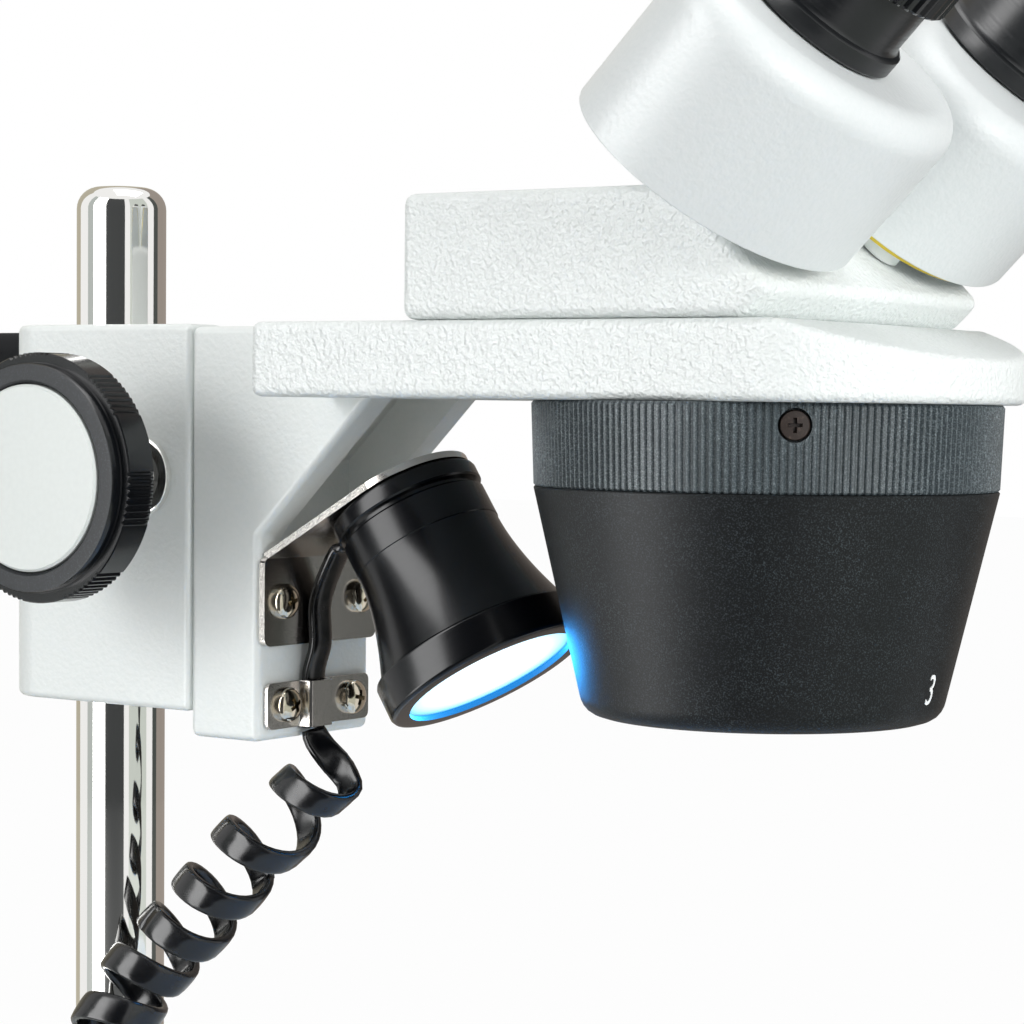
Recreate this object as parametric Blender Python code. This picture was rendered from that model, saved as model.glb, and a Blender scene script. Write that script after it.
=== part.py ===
"""Stereo microscope on a pillar stand, with a rack-and-pinion focus block, a two-power
objective turret, a hinged binocular head and a lamp on a curly lead.

Units are metres with +Z up. +X runs from the pillar towards the observer, +Y is the far side.
Z = 0 is the table and the origin is the middle of the base's footprint.
"""
import math

import bmesh
import bpy
from mathutils import Matrix, Vector

MM = 0.001

# Clearances
GAP = 0.3 * MM             # between neighbouring pieces, and of every running fit
BACKLASH = 0.14 * MM       # between the teeth of the rack and the pinion

# Facets of a full turn
FINE = 32
ROUND = 24
SMALL = 14

# Base
BASE_WIDTH = 140 * MM
BASE_HEIGHT = 32 * MM
BASE_MARGIN = 12.5 * MM    # base in front of the stage plate
BASE_REAR_CORNER = 18 * MM
BASE_FRONT_CORNER = 45 * MM
BASE_WALL = 3 * MM
BASE_TOP = 6 * MM
BASE_EDGE = 3 * MM
COVER_THICKNESS = 2 * MM
FOOT_HEIGHT = 6 * MM
FOOT_RADIUS = 9 * MM
FOOT_INSET = 26 * MM
STAGE_RADIUS = 47.5 * MM
STAGE_THICKNESS = 4 * MM
STAGE_LEDGE = 4 * MM
SWITCH_WIDTH = 21 * MM
SWITCH_HEIGHT = 13 * MM
SWITCH_DEPTH = 12 * MM
SWITCH_RIM = 1.6 * MM
SWITCH_Y = -32 * MM
ROCKER_FACE = 0.7 * MM     # rocker's crown in front of its pivot
ROCKER_DEPTH = 5 * MM
INLET_RADIUS = 5.5 * MM
INLET_DEPTH = 9 * MM
INLET_RIM = 1.2 * MM
INLET_PIN = 1 * MM
INLET_Y = 30 * MM
STAGE_CLIP_BACK = 53 * MM  # pivot of a stage clip behind the optical axis
STAGE_CLIP_SIDE = 38 * MM
STAGE_CLIP_LENGTH = 52 * MM
STAGE_CLIP_WIDTH = 7 * MM
STAGE_CLIP_SHEET = 1 * MM
STAGE_CLIP_ARCH = 3.5 * MM
STAGE_CLIP_STEM = 2 * MM

# Pillar
PILLAR_RADIUS = 8 * MM
PILLAR_FROM_REAR = 40 * MM
PILLAR_TOP = 37.5 * MM     # above the underside of the nose plate
PILLAR_ROUND = 4 * MM
SPIGOT_RADIUS = 5 * MM
NUT_RADIUS = 9 * MM
NUT_HEIGHT = 7 * MM

# Heights and reach of the optical head
STAGE_TO_PLATE = 135 * MM
OPTIC_X = 146 * MM         # optical axis in front of the pillar
TURRET_OFFSET = 11.7 * MM  # turret axis behind the optical axis
PIVOT_Y = 12 * MM          # each light path from the middle plane

# Focus drive
SHAFT_X = 19.1 * MM
SHAFT_DROP = 13.9 * MM     # below the underside of the nose plate
SHAFT_RADIUS = 2.8 * MM
MODULE = 0.4 * MM
PINION_TEETH = 18
PINION_WIDTH = 7 * MM
RACK_LENGTH = 41 * MM
RACK_BACK = 2 * MM
SLIDE_DEPTH = 4.4 * MM
SLIDE_MOUTH = 13 * MM
SLIDE_ROOT = 18 * MM
SLEEVE_RADIUS = 5.2 * MM
SLEEVE_FLANGE = 7.1 * MM   # radius of the sleeve's foot on the block
SLEEVE_FOOT = 1.6 * MM
KNOB_RADIUS = 20.8 * MM
KNOB_BACK = 35.1 * MM      # rear face of a focus knob, from the middle plane
KNOB_HUB = 2.1 * MM
KNOB_RIM = 6.6 * MM
KNOB_STEP = 1.8 * MM       # front ring inside the rim
KNOB_FACE = 2 * MM
KNOB_FACE_WIDTH = 3.5 * MM
KNOB_GROUPS = 7
KNOB_RIBS = 5
CAP_THICKNESS = 1.4 * MM
RIB_DEPTH = 0.5 * MM

# Focus block on the pillar
BLOCK_WIDTH = 30.9 * MM
BLOCK_REAR = 15 * MM
BLOCK_CORNER = 8 * MM
BLOCK_RISE = 12.4 * MM     # above the underside of the nose plate
BLOCK_EDGE = 1.2 * MM
BUSH_WALL = 1.2 * MM
LOCK_RISE = 4.3 * MM
LOCK_RADIUS = 7.2 * MM
LOCK_LENGTH = 16 * MM
LOCK_STAND_OFF = 2.6 * MM
LOCK_SCREW_RADIUS = 3 * MM
LOCK_RIBS = 20
TIP_LENGTH = 2.4 * MM      # brass tip of the lock screw

# Arm casting
ARM_THICKNESS = 15 * MM
ARM_MARGIN = 2 * MM        # leg below the cord clip
ARM_OVER_BLOCK = 4.2 * MM  # leg below the focus block
ARM_EDGE = 1.5 * MM
PLATE_THICKNESS = 11.9 * MM
PLATE_WIDTH = 71.2 * MM
PLATE_LENGTH = 91.6 * MM   # straight sides of the nose plate
PLATE_LEAD = 5.1 * MM      # end of the straight sides in front of the optical axis
PLATE_NOSE = 21.6 * MM
PLATE_FALL = 5.4 * MM      # drop of the top at the very front
PLATE_FLAT = 3.5 * MM      # flat top in front of the straight sides
PLATE_CORNER = 2 * MM
GUSSET_ROOM = 3.7 * MM     # between the gusset's foot and the lamp bracket's bend
GUSSET_WALL = 6.1 * MM
GUSSET_RECESS = 9 * MM
LIGHT_HOLE = 8 * MM

# Objective turret
OBJECTIVE_RADIUS = 7.4 * MM
OBJECTIVE_LENGTH = 17 * MM
OBJECTIVE_WALL = 1.6 * MM
LENS_THICKNESS = 3 * MM
CONE_LIP = 3.5 * MM        # cone's lower edge outside the objectives
CONE_HEIGHT = 35.3 * MM
CONE_WALL = 3 * MM
CONE_ROUND = 2.4 * MM
CONE_FLOOR = 5 * MM
RING_PROUD = 0.96 * MM     # ring outside the nose plate's straight sides
RING_DRAFT = 0.5 * MM
RING_HEIGHT = 12.9 * MM
RING_WALL = 3.2 * MM
RING_RIBS = 96
BOLT_RADIUS = 4 * MM
BOLT_HEAD = 6.6 * MM
BOLT_HEAD_HEIGHT = 2.4 * MM

# Lamp, its bracket and lead
LAMP_TUCK = 0.4 * MM       # lamp's front edge inside the turret ring's outline
LAMP_DROP = 46.1 * MM      # middle of the lamp's front face below the nose plate
LAMP_TILT = math.radians(32.3)
LAMP_FRONT_RADIUS = 18.2 * MM
LAMP_FRONT_LENGTH = 6.8 * MM
LAMP_BODY_RADIUS = 16.9 * MM
LAMP_BACK_RADIUS = 12.9 * MM
LAMP_LENGTH = 35 * MM
LAMP_CAP_LENGTH = 4 * MM
LAMP_LENS_RADIUS = 15.8 * MM
LAMP_LENS_THICKNESS = 2.4 * MM
LAMP_LIP = 0.8 * MM
LAMP_WALL = 1.6 * MM
BOARD_THICKNESS = 1.5 * MM
BRACKET_SHEET = 1.2 * MM
BRACKET_PLATE = 15 * MM
BRACKET_TONGUE = 12.6 * MM
CORD_WIDTH = 5.2 * MM
CORD_THICKNESS = 1.8 * MM
CORD_Y = -2.2 * MM
CORD_CLIP_SHEET = 0.8 * MM
CORD_CLIP_SPAN = 28 * MM
CORD_CLIP_HEIGHT = 8 * MM
CORD_CLIP_BELOW = 6.3 * MM  # clip below the bracket's plate
CURLS = 6
CURL_POINTS = 10
CURL_RADIUS = 6.6 * MM
GLAND_X = 12 * MM
GLAND_Y = -22 * MM
GLAND_HEIGHT = 13 * MM
GLAND_RADIUS = 5.5 * MM

# Optical head
HEAD_LENGTH = 64.5 * MM
HEAD_INSET = 0.4 * MM      # head's sides inside those of the nose plate
HEAD_HEIGHT = 19 * MM
HEAD_EDGE = 2 * MM
NOSE_LEAD = 7.9 * MM       # tip of the nose in front of the optical axis
NOSE_HEIGHT = 4.2 * MM     # tip of the nose above the plate
NOSE_UNDERCUT = 3.6 * MM
TUBE_TILT = math.radians(45)
HUB_RADIUS = 6 * MM
POD_LIFT = 3 * MM          # prism housing above the sloping face
POD_LONG = 27.6 * MM
POD_SHORT = 18.7 * MM
POD_TURN = math.radians(-12.8)
POD_SIDE = 18.3 * MM       # middle of the housing's outline from its pivot
POD_UP = 8.5 * MM
POD_HEIGHT = 26.5 * MM
POD_EDGE = 5 * MM
POD_WALL = 4.5 * MM
POD_BASE = 0.8 * MM
POD_BASE_INSET = 1.8 * MM
PRISM_SIZE = 13 * MM
TUBE_SIDE = 20 * MM        # eye tube from the pivot
TUBE_UP = 13 * MM
TUBE_RADIUS = 12.5 * MM
TUBE_WALL = 1.5 * MM
TUBE_LENGTH = 21 * MM
TUBE_FLANGE = 1.2 * MM
DIOPTER_WALL = 1.6 * MM
DIOPTER_LENGTH = 7 * MM
DIOPTER_RIBS = 24
EYEPIECE_RADIUS = 13.2 * MM
EYEPIECE_LENGTH = 13 * MM
EYEPIECE_SPIGOT = 12 * MM
EYECUP_LENGTH = 8 * MM
EYECUP_WALL = 2 * MM
EYECUP_FLARE = 1.5 * MM

# Places that follow from the sizes above; x is from the pillar, drops are from the nose plate
BASE_LENGTH = PILLAR_FROM_REAR + OPTIC_X + STAGE_RADIUS + BASE_MARGIN
PILLAR_WORLD_X = PILLAR_FROM_REAR - (BASE_LENGTH - SWITCH_RIM) / 2
BASE_TOP_Z = FOOT_HEIGHT + BASE_HEIGHT
PLATE_Z = BASE_TOP_Z + STAGE_TO_PLATE
TURRET_X = OPTIC_X - TURRET_OFFSET
PITCH_RADIUS = MODULE * PINION_TEETH / 2
TOOTH_TIP = 0.8 * MODULE
TOOTH_ROOT = 1.1 * MODULE
SLIDE_BACK = SHAFT_X + PITCH_RADIUS + TOOTH_ROOT + RACK_BACK + GAP
BLOCK_FRONT = SLIDE_BACK + SLIDE_DEPTH
ARM_REAR = BLOCK_FRONT + GAP
ARM_FRONT = ARM_REAR + ARM_THICKNESS
SLEEVE_END = KNOB_BACK - KNOB_HUB
CAP_RADIUS = KNOB_RADIUS - KNOB_STEP - KNOB_FACE_WIDTH
BORE_RADIUS = PILLAR_RADIUS + GAP + BUSH_WALL + GAP
CONE_END = math.hypot(TURRET_OFFSET, PIVOT_Y) + OBJECTIVE_RADIUS + GAP + CONE_LIP
RING_RADIUS = PLATE_WIDTH / 2 + RING_PROUD
CONE_FLARE = RING_RADIUS - RING_DRAFT - CONE_END
LAMP_X = TURRET_X - RING_RADIUS - LAMP_FRONT_RADIUS * math.cos(LAMP_TILT) + LAMP_TUCK
LAMP_BACK_X = LAMP_X - (LAMP_LENGTH + GAP) * math.sin(LAMP_TILT)
LAMP_BACK_DROP = LAMP_DROP - (LAMP_LENGTH + GAP) * math.cos(LAMP_TILT)
BRACKET_BEND_X = ARM_FRONT + GAP + BRACKET_SHEET
BRACKET_BEND_DROP = LAMP_BACK_DROP + (LAMP_BACK_X - BRACKET_BEND_X) * math.tan(LAMP_TILT)
GUSSET_LEG = BRACKET_BEND_DROP - GUSSET_ROOM
CORD_CLIP_DROP = BRACKET_BEND_DROP + BRACKET_PLATE + CORD_CLIP_BELOW
CORD_CLIP_END = CORD_CLIP_DROP + CORD_CLIP_HEIGHT
ARM_DROP = CORD_CLIP_END + ARM_MARGIN
BLOCK_DROP = ARM_DROP - ARM_OVER_BLOCK
NOSE_X = OPTIC_X + NOSE_LEAD


def clear_scene():
    for item in list(bpy.data.objects):
        bpy.data.objects.remove(item, do_unlink=True)


def paint(name, colour, roughness, metallic=0.0):
    material = bpy.data.materials.new(name)
    material.use_nodes = True
    shader = material.node_tree.nodes["Principled BSDF"]
    shader.inputs["Base Color"].default_value = (*colour, 1.0)
    shader.inputs["Roughness"].default_value = roughness
    shader.inputs["Metallic"].default_value = metallic
    return material


def group(name, parent, location, tilt=0.0):
    """An empty on a joint's axis; its pieces are placed from it."""
    item = bpy.data.objects.new(name, None)
    bpy.context.collection.objects.link(item)
    item.parent = parent
    item.location = location
    item.rotation_euler = (0.0, tilt, 0.0)
    return item


def solid(name, shape, material, parent, location=(0, 0, 0)):
    bmesh.ops.recalc_face_normals(shape, faces=shape.faces)
    mesh = bpy.data.meshes.new(name)
    shape.to_mesh(mesh)
    shape.free()
    mesh.shade_smooth()
    mesh.set_sharp_from_angle(angle=math.radians(35))
    item = bpy.data.objects.new(name, mesh)
    bpy.context.collection.objects.link(item)
    item.parent = parent
    item.location = location
    if material:
        mesh.materials.append(material)
    return item


def combine(item, shape, location, operation):
    tool = solid(item.name + "_tool", shape, None, item.parent, location)
    tool.hide_render = True
    tool.display_type = "WIRE"
    modifier = item.modifiers.new(operation.title(), "BOOLEAN")
    modifier.operation = operation
    modifier.solver = "EXACT"
    modifier.object = tool
    return tool


def cut(item, shape, location=(0, 0, 0)):
    """Take a shape out of a piece; it is placed from the piece's own group."""
    return combine(item, shape, location, "DIFFERENCE")


def weld(item, shape, location=(0, 0, 0)):
    return combine(item, shape, location, "UNION")


def soften(item, width, segments=2, angle=50):
    modifier = item.modifiers.new("Edges", "BEVEL")
    modifier.width = width
    modifier.segments = segments
    modifier.limit_method = "ANGLE"
    modifier.angle_limit = math.radians(angle)


def prism(outline, low, high, along="Z"):
    """A flat outline pushed along one axis. Along Y it is drawn as (x, z), along X as (y, z)."""
    def place(a, b, c):
        return {"Z": (a, b, c), "Y": (a, c, b), "X": (c, a, b)}[along]

    shape = bmesh.new()
    face = shape.faces.new([shape.verts.new(place(a, b, low)) for a, b in outline])
    pushed = bmesh.ops.extrude_face_region(shape, geom=[face])["geom"]
    moving = [v for v in pushed if isinstance(v, bmesh.types.BMVert)]
    bmesh.ops.translate(shape, vec=place(0, 0, high - low), verts=moving)
    return shape


def turned(profile, steps=ROUND, along="Z"):
    """A profile of (radius, height) spun about Z, then laid along X or Y if asked.

    A profile that starts and ends on the axis makes a solid; any other is closed into a ring."""
    shape = bmesh.new()
    points = [shape.verts.new((r, 0, z)) for r, z in profile]
    edges = [shape.edges.new(pair) for pair in zip(points, points[1:])]
    if profile[0][0] > 0 or profile[-1][0] > 0:
        edges.append(shape.edges.new((points[-1], points[0])))
    bmesh.ops.spin(shape, geom=points + edges, cent=(0, 0, 0), axis=(0, 0, 1),
                   angle=2 * math.pi, steps=steps, use_merge=True)
    bmesh.ops.remove_doubles(shape, verts=shape.verts, dist=1e-6)
    turn = {"Z": 0.0, "X": 90.0, "Y": -90.0}[along]
    lay = Matrix.Rotation(math.radians(turn), 4, "X" if along == "Y" else "Y")
    bmesh.ops.transform(shape, matrix=lay, verts=shape.verts)
    return shape


def rod(radius, low, high, steps=ROUND, along="Z"):
    return turned([(0, high), (radius, high), (radius, low), (0, low)], steps, along)


def ring(inner, outer, low, high, steps=ROUND, along="Z"):
    return turned([(inner, high), (outer, high), (outer, low), (inner, low)], steps, along)


def box(width, height, x=0.0, y=0.0):
    corners = [(-1, -1), (1, -1), (1, 1), (-1, 1)]
    return [(x + a * width / 2, y + b * height / 2) for a, b in corners]


def polar(radius, angle):
    return (radius * math.cos(angle), radius * math.sin(angle))


def rounded(corners, radii, steps=4):
    """Replace the corners of an outline by arcs; a radius of 0 leaves a corner sharp."""
    outline = []
    count = len(corners)
    for i, radius in enumerate(radii):
        here = Vector(corners[i])
        if radius <= 0:
            outline.append(tuple(here))
            continue
        before = (Vector(corners[i - 1]) - here).normalized()
        after = (Vector(corners[(i + 1) % count]) - here).normalized()
        half = before.angle(after) / 2
        centre = here + (before + after).normalized() * (radius / math.sin(half))
        start = here + before * (radius / math.tan(half)) - centre
        end = here + after * (radius / math.tan(half)) - centre
        first = math.atan2(start.y, start.x)
        sweep = -start.angle_signed(end)
        for k in range(steps + 1):
            x, y = polar(radius, first + sweep * k / steps)
            outline.append((centre.x + x, centre.y + y))
    return outline


def ellipse(long, short, turn, count=ROUND):
    outline = []
    for k in range(count):
        angle = 2 * math.pi * k / count
        a, b = long * math.cos(angle), short * math.sin(angle)
        outline.append((a * math.cos(turn) - b * math.sin(turn), a * math.sin(turn) + b * math.cos(turn)))
    return outline


def ribbed(radius, ribs, groups=1, share=1.0):
    """A round outline with vee ribs, all round or in groups that fill a share of each sector."""
    outline = []
    sector = 2 * math.pi / groups
    step = sector * share / ribs
    for g in range(groups):
        for r in range(ribs):
            outline.append(polar(radius, g * sector + r * step))
            outline.append(polar(radius - RIB_DEPTH, g * sector + (r + 0.5) * step))
        smooth = 4 if share < 1.0 else 0
        for k in range(smooth):
            outline.append(polar(radius, g * sector + sector * (share + (1 - share) * k / smooth)))
    return outline


def base_outline(inset=0.0):
    """Base plan from the pillar, with a longer sweep at its front corners."""
    rear, front = inset - PILLAR_FROM_REAR, BASE_LENGTH - PILLAR_FROM_REAR - inset
    side = BASE_WIDTH / 2 - inset
    small, large = BASE_REAR_CORNER - inset, BASE_FRONT_CORNER - inset
    corners = [(rear, -side), (front, -side), (front, side), (rear, side)]
    return rounded(corners, [small, large, large, small], 5)


def make_base(stand, colours):
    """A hollow casting closed by a sheet cover, with the stage disc let into its top."""
    rear, mid = -PILLAR_FROM_REAR, FOOT_HEIGHT + BASE_HEIGHT / 2
    under_top = BASE_TOP_Z - BASE_TOP
    housing = solid("base_housing", prism(base_outline(), FOOT_HEIGHT, BASE_TOP_Z), colours["white"], stand)
    soften(housing, BASE_EDGE)
    cut(housing, prism(base_outline(BASE_WALL), FOOT_HEIGHT - BASE_WALL, under_top))
    seat, ledge = STAGE_RADIUS + GAP, STAGE_RADIUS - STAGE_LEDGE
    seat_z = BASE_TOP_Z - STAGE_THICKNESS - GAP
    recess = [(0, BASE_TOP_Z + MM), (seat, BASE_TOP_Z + MM), (seat, seat_z), (ledge, seat_z),
              (ledge, under_top - MM), (0, under_top - MM)]
    cut(housing, turned(recess, FINE), (OPTIC_X, 0, 0))
    cut(housing, rod(SPIGOT_RADIUS + GAP, under_top - MM, BASE_TOP_Z + MM, SMALL))
    for side in (-1, 1):
        socket = rod(STAGE_CLIP_STEM + GAP, under_top + MM, BASE_TOP_Z + MM, SMALL)
        cut(housing, socket, (OPTIC_X - STAGE_CLIP_BACK, side * STAGE_CLIP_SIDE, 0))
    opening = box(SWITCH_WIDTH + 2 * GAP, SWITCH_HEIGHT + 2 * GAP, SWITCH_Y, mid)
    cut(housing, prism(opening, rear - MM, rear + BASE_WALL + MM, "X"))
    cut(housing, rod(INLET_RADIUS + GAP, -MM, BASE_WALL + MM, SMALL, "X"), (rear, INLET_Y, mid))

    cover = prism(base_outline(BASE_WALL + GAP), FOOT_HEIGHT, FOOT_HEIGHT + COVER_THICKNESS)
    solid("base_cover", cover, colours["steel"], stand)
    foot_x = (BASE_LENGTH - PILLAR_FROM_REAR - FOOT_INSET, FOOT_INSET - PILLAR_FROM_REAR)
    foot_y = BASE_WIDTH / 2 - FOOT_INSET
    places = [(x, y) for x in foot_x for y in (-foot_y, foot_y)]
    for number, (x, y) in enumerate(places, 1):
        top = FOOT_HEIGHT - GAP
        foot = turned([(0, top), (FOOT_RADIUS, top), (FOOT_RADIUS * 0.86, 0), (0, 0)], SMALL)
        solid("foot_%d" % number, foot, colours["rubber"], stand, (x, y, 0))
    disc = rod(STAGE_RADIUS, BASE_TOP_Z - STAGE_THICKNESS, BASE_TOP_Z, FINE)
    solid("stage_plate", disc, colours["disc"], stand, (OPTIC_X, 0, 0))
    make_switch(stand, rear, mid, colours)
    make_stage_clips(stand, colours)


def make_switch(stand, rear, mid, colours):
    """Rocker switch in its frame, and the socket for the low-voltage supply, on the base's rear."""
    low, high = rear - SWITCH_RIM, rear + SWITCH_DEPTH
    frame_shape = prism(box(SWITCH_WIDTH, SWITCH_HEIGHT, SWITCH_Y, mid), low, high, "X")
    frame = solid("switch_frame", frame_shape, colours["black"], stand)
    width, height = SWITCH_WIDTH - 2 * SWITCH_RIM, SWITCH_HEIGHT - 2 * SWITCH_RIM
    cut(frame, prism(box(width, height, SWITCH_Y, mid), low - MM, high - SWITCH_RIM, "X"))
    rocker = group("rocker", stand, (rear, SWITCH_Y, mid))
    half, deep = width / 2 - 3 * GAP, height / 2 - GAP
    face = [(-half, ROCKER_FACE), (-half / 2, -ROCKER_FACE / 2), (0, -ROCKER_FACE),
            (half / 2, -ROCKER_FACE / 2), (half, ROCKER_FACE)]
    back = [(half * 0.7, ROCKER_DEPTH * 0.7), (0, ROCKER_DEPTH), (-half * 0.7, ROCKER_DEPTH * 0.7)]
    solid("rocker_switch", prism([(x, y) for y, x in face + back], -deep, deep), colours["black"], rocker)
    bore, rim = INLET_RADIUS * 0.55, INLET_RADIUS + INLET_RIM
    floor = INLET_DEPTH - INLET_RIM
    socket = [(0, 0), (INLET_PIN, 0), (INLET_PIN, floor), (bore, floor), (bore, -INLET_RIM),
              (rim, -INLET_RIM), (rim, -GAP), (INLET_RADIUS, -GAP), (INLET_RADIUS, INLET_DEPTH),
              (0, INLET_DEPTH)]
    solid("power_inlet", turned(socket, SMALL, "X"), colours["black"], stand, (rear, INLET_Y, mid))


def make_stage_clips(stand, colours):
    """Bent spring strips, each turning on a stem in the base."""
    length, sheet = STAGE_CLIP_LENGTH, STAGE_CLIP_SHEET
    strip = [(-0.12 * length, GAP), (0.16 * length, GAP), (0.4 * length, GAP + STAGE_CLIP_ARCH),
             (0.86 * length, GAP), (length, GAP + STAGE_CLIP_ARCH * 0.7)]
    outline = strip + [(x, z + sheet) for x, z in reversed(strip)]
    half = STAGE_CLIP_WIDTH / 2
    for name, side in (("near", -1), ("far", 1)):
        place = (OPTIC_X - STAGE_CLIP_BACK, side * STAGE_CLIP_SIDE, BASE_TOP_Z)
        pivot = group("clip_" + name, stand, place)
        clip = solid("stage_clip_" + name, prism(outline, -half, half, "Y"), colours["steel"], pivot)
        weld(clip, rod(STAGE_CLIP_STEM, 2 * MM - BASE_TOP, GAP + 2 * sheet, SMALL))


def make_pillar(stand, colours):
    """Plated pillar with a round top, held by a nut under the base's top; the cord's gland is beside it."""
    low, top = BASE_TOP_Z + GAP, PLATE_Z + PILLAR_TOP
    nut_top = BASE_TOP_Z - BASE_TOP - GAP
    nut_low = nut_top - NUT_HEIGHT
    profile = [(0, top)]
    for k in range(4):
        angle = math.radians(90 - 30 * k)
        profile.append((PILLAR_RADIUS - PILLAR_ROUND * (1 - math.cos(angle)),
                        top - PILLAR_ROUND * (1 - math.sin(angle))))
    end = nut_low - 2 * MM
    profile += [(PILLAR_RADIUS, low), (SPIGOT_RADIUS, low), (SPIGOT_RADIUS, end), (0, end)]
    solid("pillar", turned(profile), colours["chrome"], stand)
    nut = solid("pillar_nut", rod(NUT_RADIUS, nut_low, nut_top, 6), colours["steel"], stand)
    cut(nut, rod(SPIGOT_RADIUS + GAP, nut_low - MM, nut_top + MM, SMALL))
    tip, flange = low + GLAND_HEIGHT, low + GLAND_HEIGHT * 0.2
    wide = GLAND_RADIUS * 1.25
    gland = [(0, tip), (GLAND_RADIUS * 0.62, tip), (GLAND_RADIUS * 0.8, flange), (wide, flange),
             (wide, low), (0, low)]
    solid("cord_gland", turned(gland, SMALL), colours["rubber"], stand, (GLAND_X, GLAND_Y, 0))


def gear_outline():
    """Involute pinion teeth at 20 degrees, the first one on the +X side."""
    base = PITCH_RADIUS * math.cos(math.radians(20))
    tip = PITCH_RADIUS + TOOTH_TIP

    def involute(radius):
        pressure = math.acos(base / radius)
        return math.tan(pressure) - pressure

    half = (math.pi * MODULE - 2 * BACKLASH) / 4 / PITCH_RADIUS + involute(PITCH_RADIUS)
    flank = [(PITCH_RADIUS - TOOTH_ROOT, half), (base, half), (tip, half - involute(tip))]
    outline = []
    for t in range(PINION_TEETH):
        middle = 2 * math.pi * t / PINION_TEETH
        outline += [polar(r, middle - angle) for r, angle in flank]
        outline += [polar(r, middle + angle) for r, angle in reversed(flank)]
    return outline


def rack_outline(pitch_x, back, low, high, gap_at):
    """A rack in (x, z) whose teeth point to -X, with the gap between two teeth at one height."""
    pitch = math.pi * MODULE
    slope = math.tan(math.radians(20))
    half = (pitch - 2 * BACKLASH) / 4
    root, tip = pitch_x + TOOTH_ROOT, pitch_x - TOOTH_TIP
    at_root, at_tip = half + TOOTH_ROOT * slope, half - TOOTH_TIP * slope
    outline = [(root, high), (back, high), (back, low), (root, low)]
    first = math.ceil((low - gap_at) / pitch)
    last = math.floor((high - gap_at) / pitch)
    for t in range(first, last):
        middle = gap_at + (t + 0.5) * pitch
        outline += [(root, middle - at_root), (tip, middle - at_tip)]
        outline += [(tip, middle + at_tip), (root, middle + at_root)]
    return outline


def make_focus_block(stand, colours):
    """The block clamps on a split bush and holds the pinion shaft; its front has the dovetail way."""
    bush_group = group("bush", stand, (0, 0, PLATE_Z))
    low, high = -BLOCK_DROP, BLOCK_RISE
    bush = ring(PILLAR_RADIUS + GAP, BORE_RADIUS - GAP, low + BLOCK_EDGE, high - BLOCK_EDGE)
    solid("pillar_bush", bush, colours["brass"], bush_group)

    block_group = group("block", bush_group, (0, 0, 0))
    side = BLOCK_WIDTH / 2
    corners = [(-BLOCK_REAR, -side), (BLOCK_FRONT, -side), (BLOCK_FRONT, side), (-BLOCK_REAR, side)]
    outline = rounded(corners, [BLOCK_CORNER, 0, 0, BLOCK_CORNER], 5)
    block = solid("focus_block", prism(outline, low, high), colours["white"], block_group)
    soften(block, BLOCK_EDGE)
    cut(block, rod(BORE_RADIUS, low - MM, high + MM))
    lean = (SLIDE_ROOT - SLIDE_MOUTH) / 2 / SLIDE_DEPTH
    play = GAP * math.hypot(1, lean)
    way = [(BLOCK_FRONT + MM, SLIDE_MOUTH / 2 - lean * MM + play),
           (SLIDE_BACK - GAP, SLIDE_ROOT / 2 + lean * GAP + play)]
    cut(block, prism(way + [(x, -y) for x, y in reversed(way)], low - MM, high + MM))
    slot_back = SHAFT_X - PITCH_RADIUS - TOOTH_TIP - 2 * GAP
    slot = box(SLIDE_BACK - slot_back, PINION_WIDTH + 4 * GAP, (SLIDE_BACK + slot_back) / 2)
    cut(block, prism(slot, low - MM, high + MM))
    cut(block, rod(SHAFT_RADIUS + GAP, -side - MM, side + MM, SMALL, "Y"), (SHAFT_X, 0, -SHAFT_DROP))
    tapped = rod(LOCK_SCREW_RADIUS + GAP, -BLOCK_REAR - MM, 2 * MM - BORE_RADIUS, SMALL, "X")
    cut(block, tapped, (0, 0, LOCK_RISE))
    for name, turn in (("near", -1), ("far", 1)):
        bore, foot, step = SHAFT_RADIUS + GAP, side + GAP, side + GAP + SLEEVE_FOOT
        profile = [(bore, foot), (SLEEVE_FLANGE, foot), (SLEEVE_FLANGE, step), (SLEEVE_RADIUS, step),
                   (SLEEVE_RADIUS, SLEEVE_END), (bore, SLEEVE_END)]
        sleeve = turned([(r, turn * y) for r, y in profile], ROUND, "Y")
        solid("shaft_sleeve_" + name, sleeve, colours["chrome"], block_group, (SHAFT_X, 0, -SHAFT_DROP))
    make_lock(block_group, colours)
    make_drive(block_group, colours)
    return block_group


def make_lock(block_group, colours):
    """Knob and screw behind the block; the screw's brass tip presses on the bush."""
    lock = group("lock", block_group, (-BLOCK_REAR, 0, LOCK_RISE))
    front = -LOCK_STAND_OFF
    depth = LOCK_LENGTH * 0.7
    shape = prism(ribbed(LOCK_RADIUS, LOCK_RIBS), front - LOCK_LENGTH, front, "X")
    knob = solid("lock_knob", shape, colours["black"], lock)
    cut(knob, rod(LOCK_SCREW_RADIUS + GAP, front - depth - GAP, front + MM, SMALL, "X"))
    tip = BLOCK_REAR - BORE_RADIUS - TIP_LENGTH - GAP
    solid("lock_screw", rod(LOCK_SCREW_RADIUS, front - depth, tip, SMALL, "X"), colours["steel"], lock)
    pad = rod(LOCK_SCREW_RADIUS - GAP, tip + GAP, tip + GAP + TIP_LENGTH, SMALL, "X")
    solid("lock_tip", pad, colours["brass"], lock)


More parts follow.
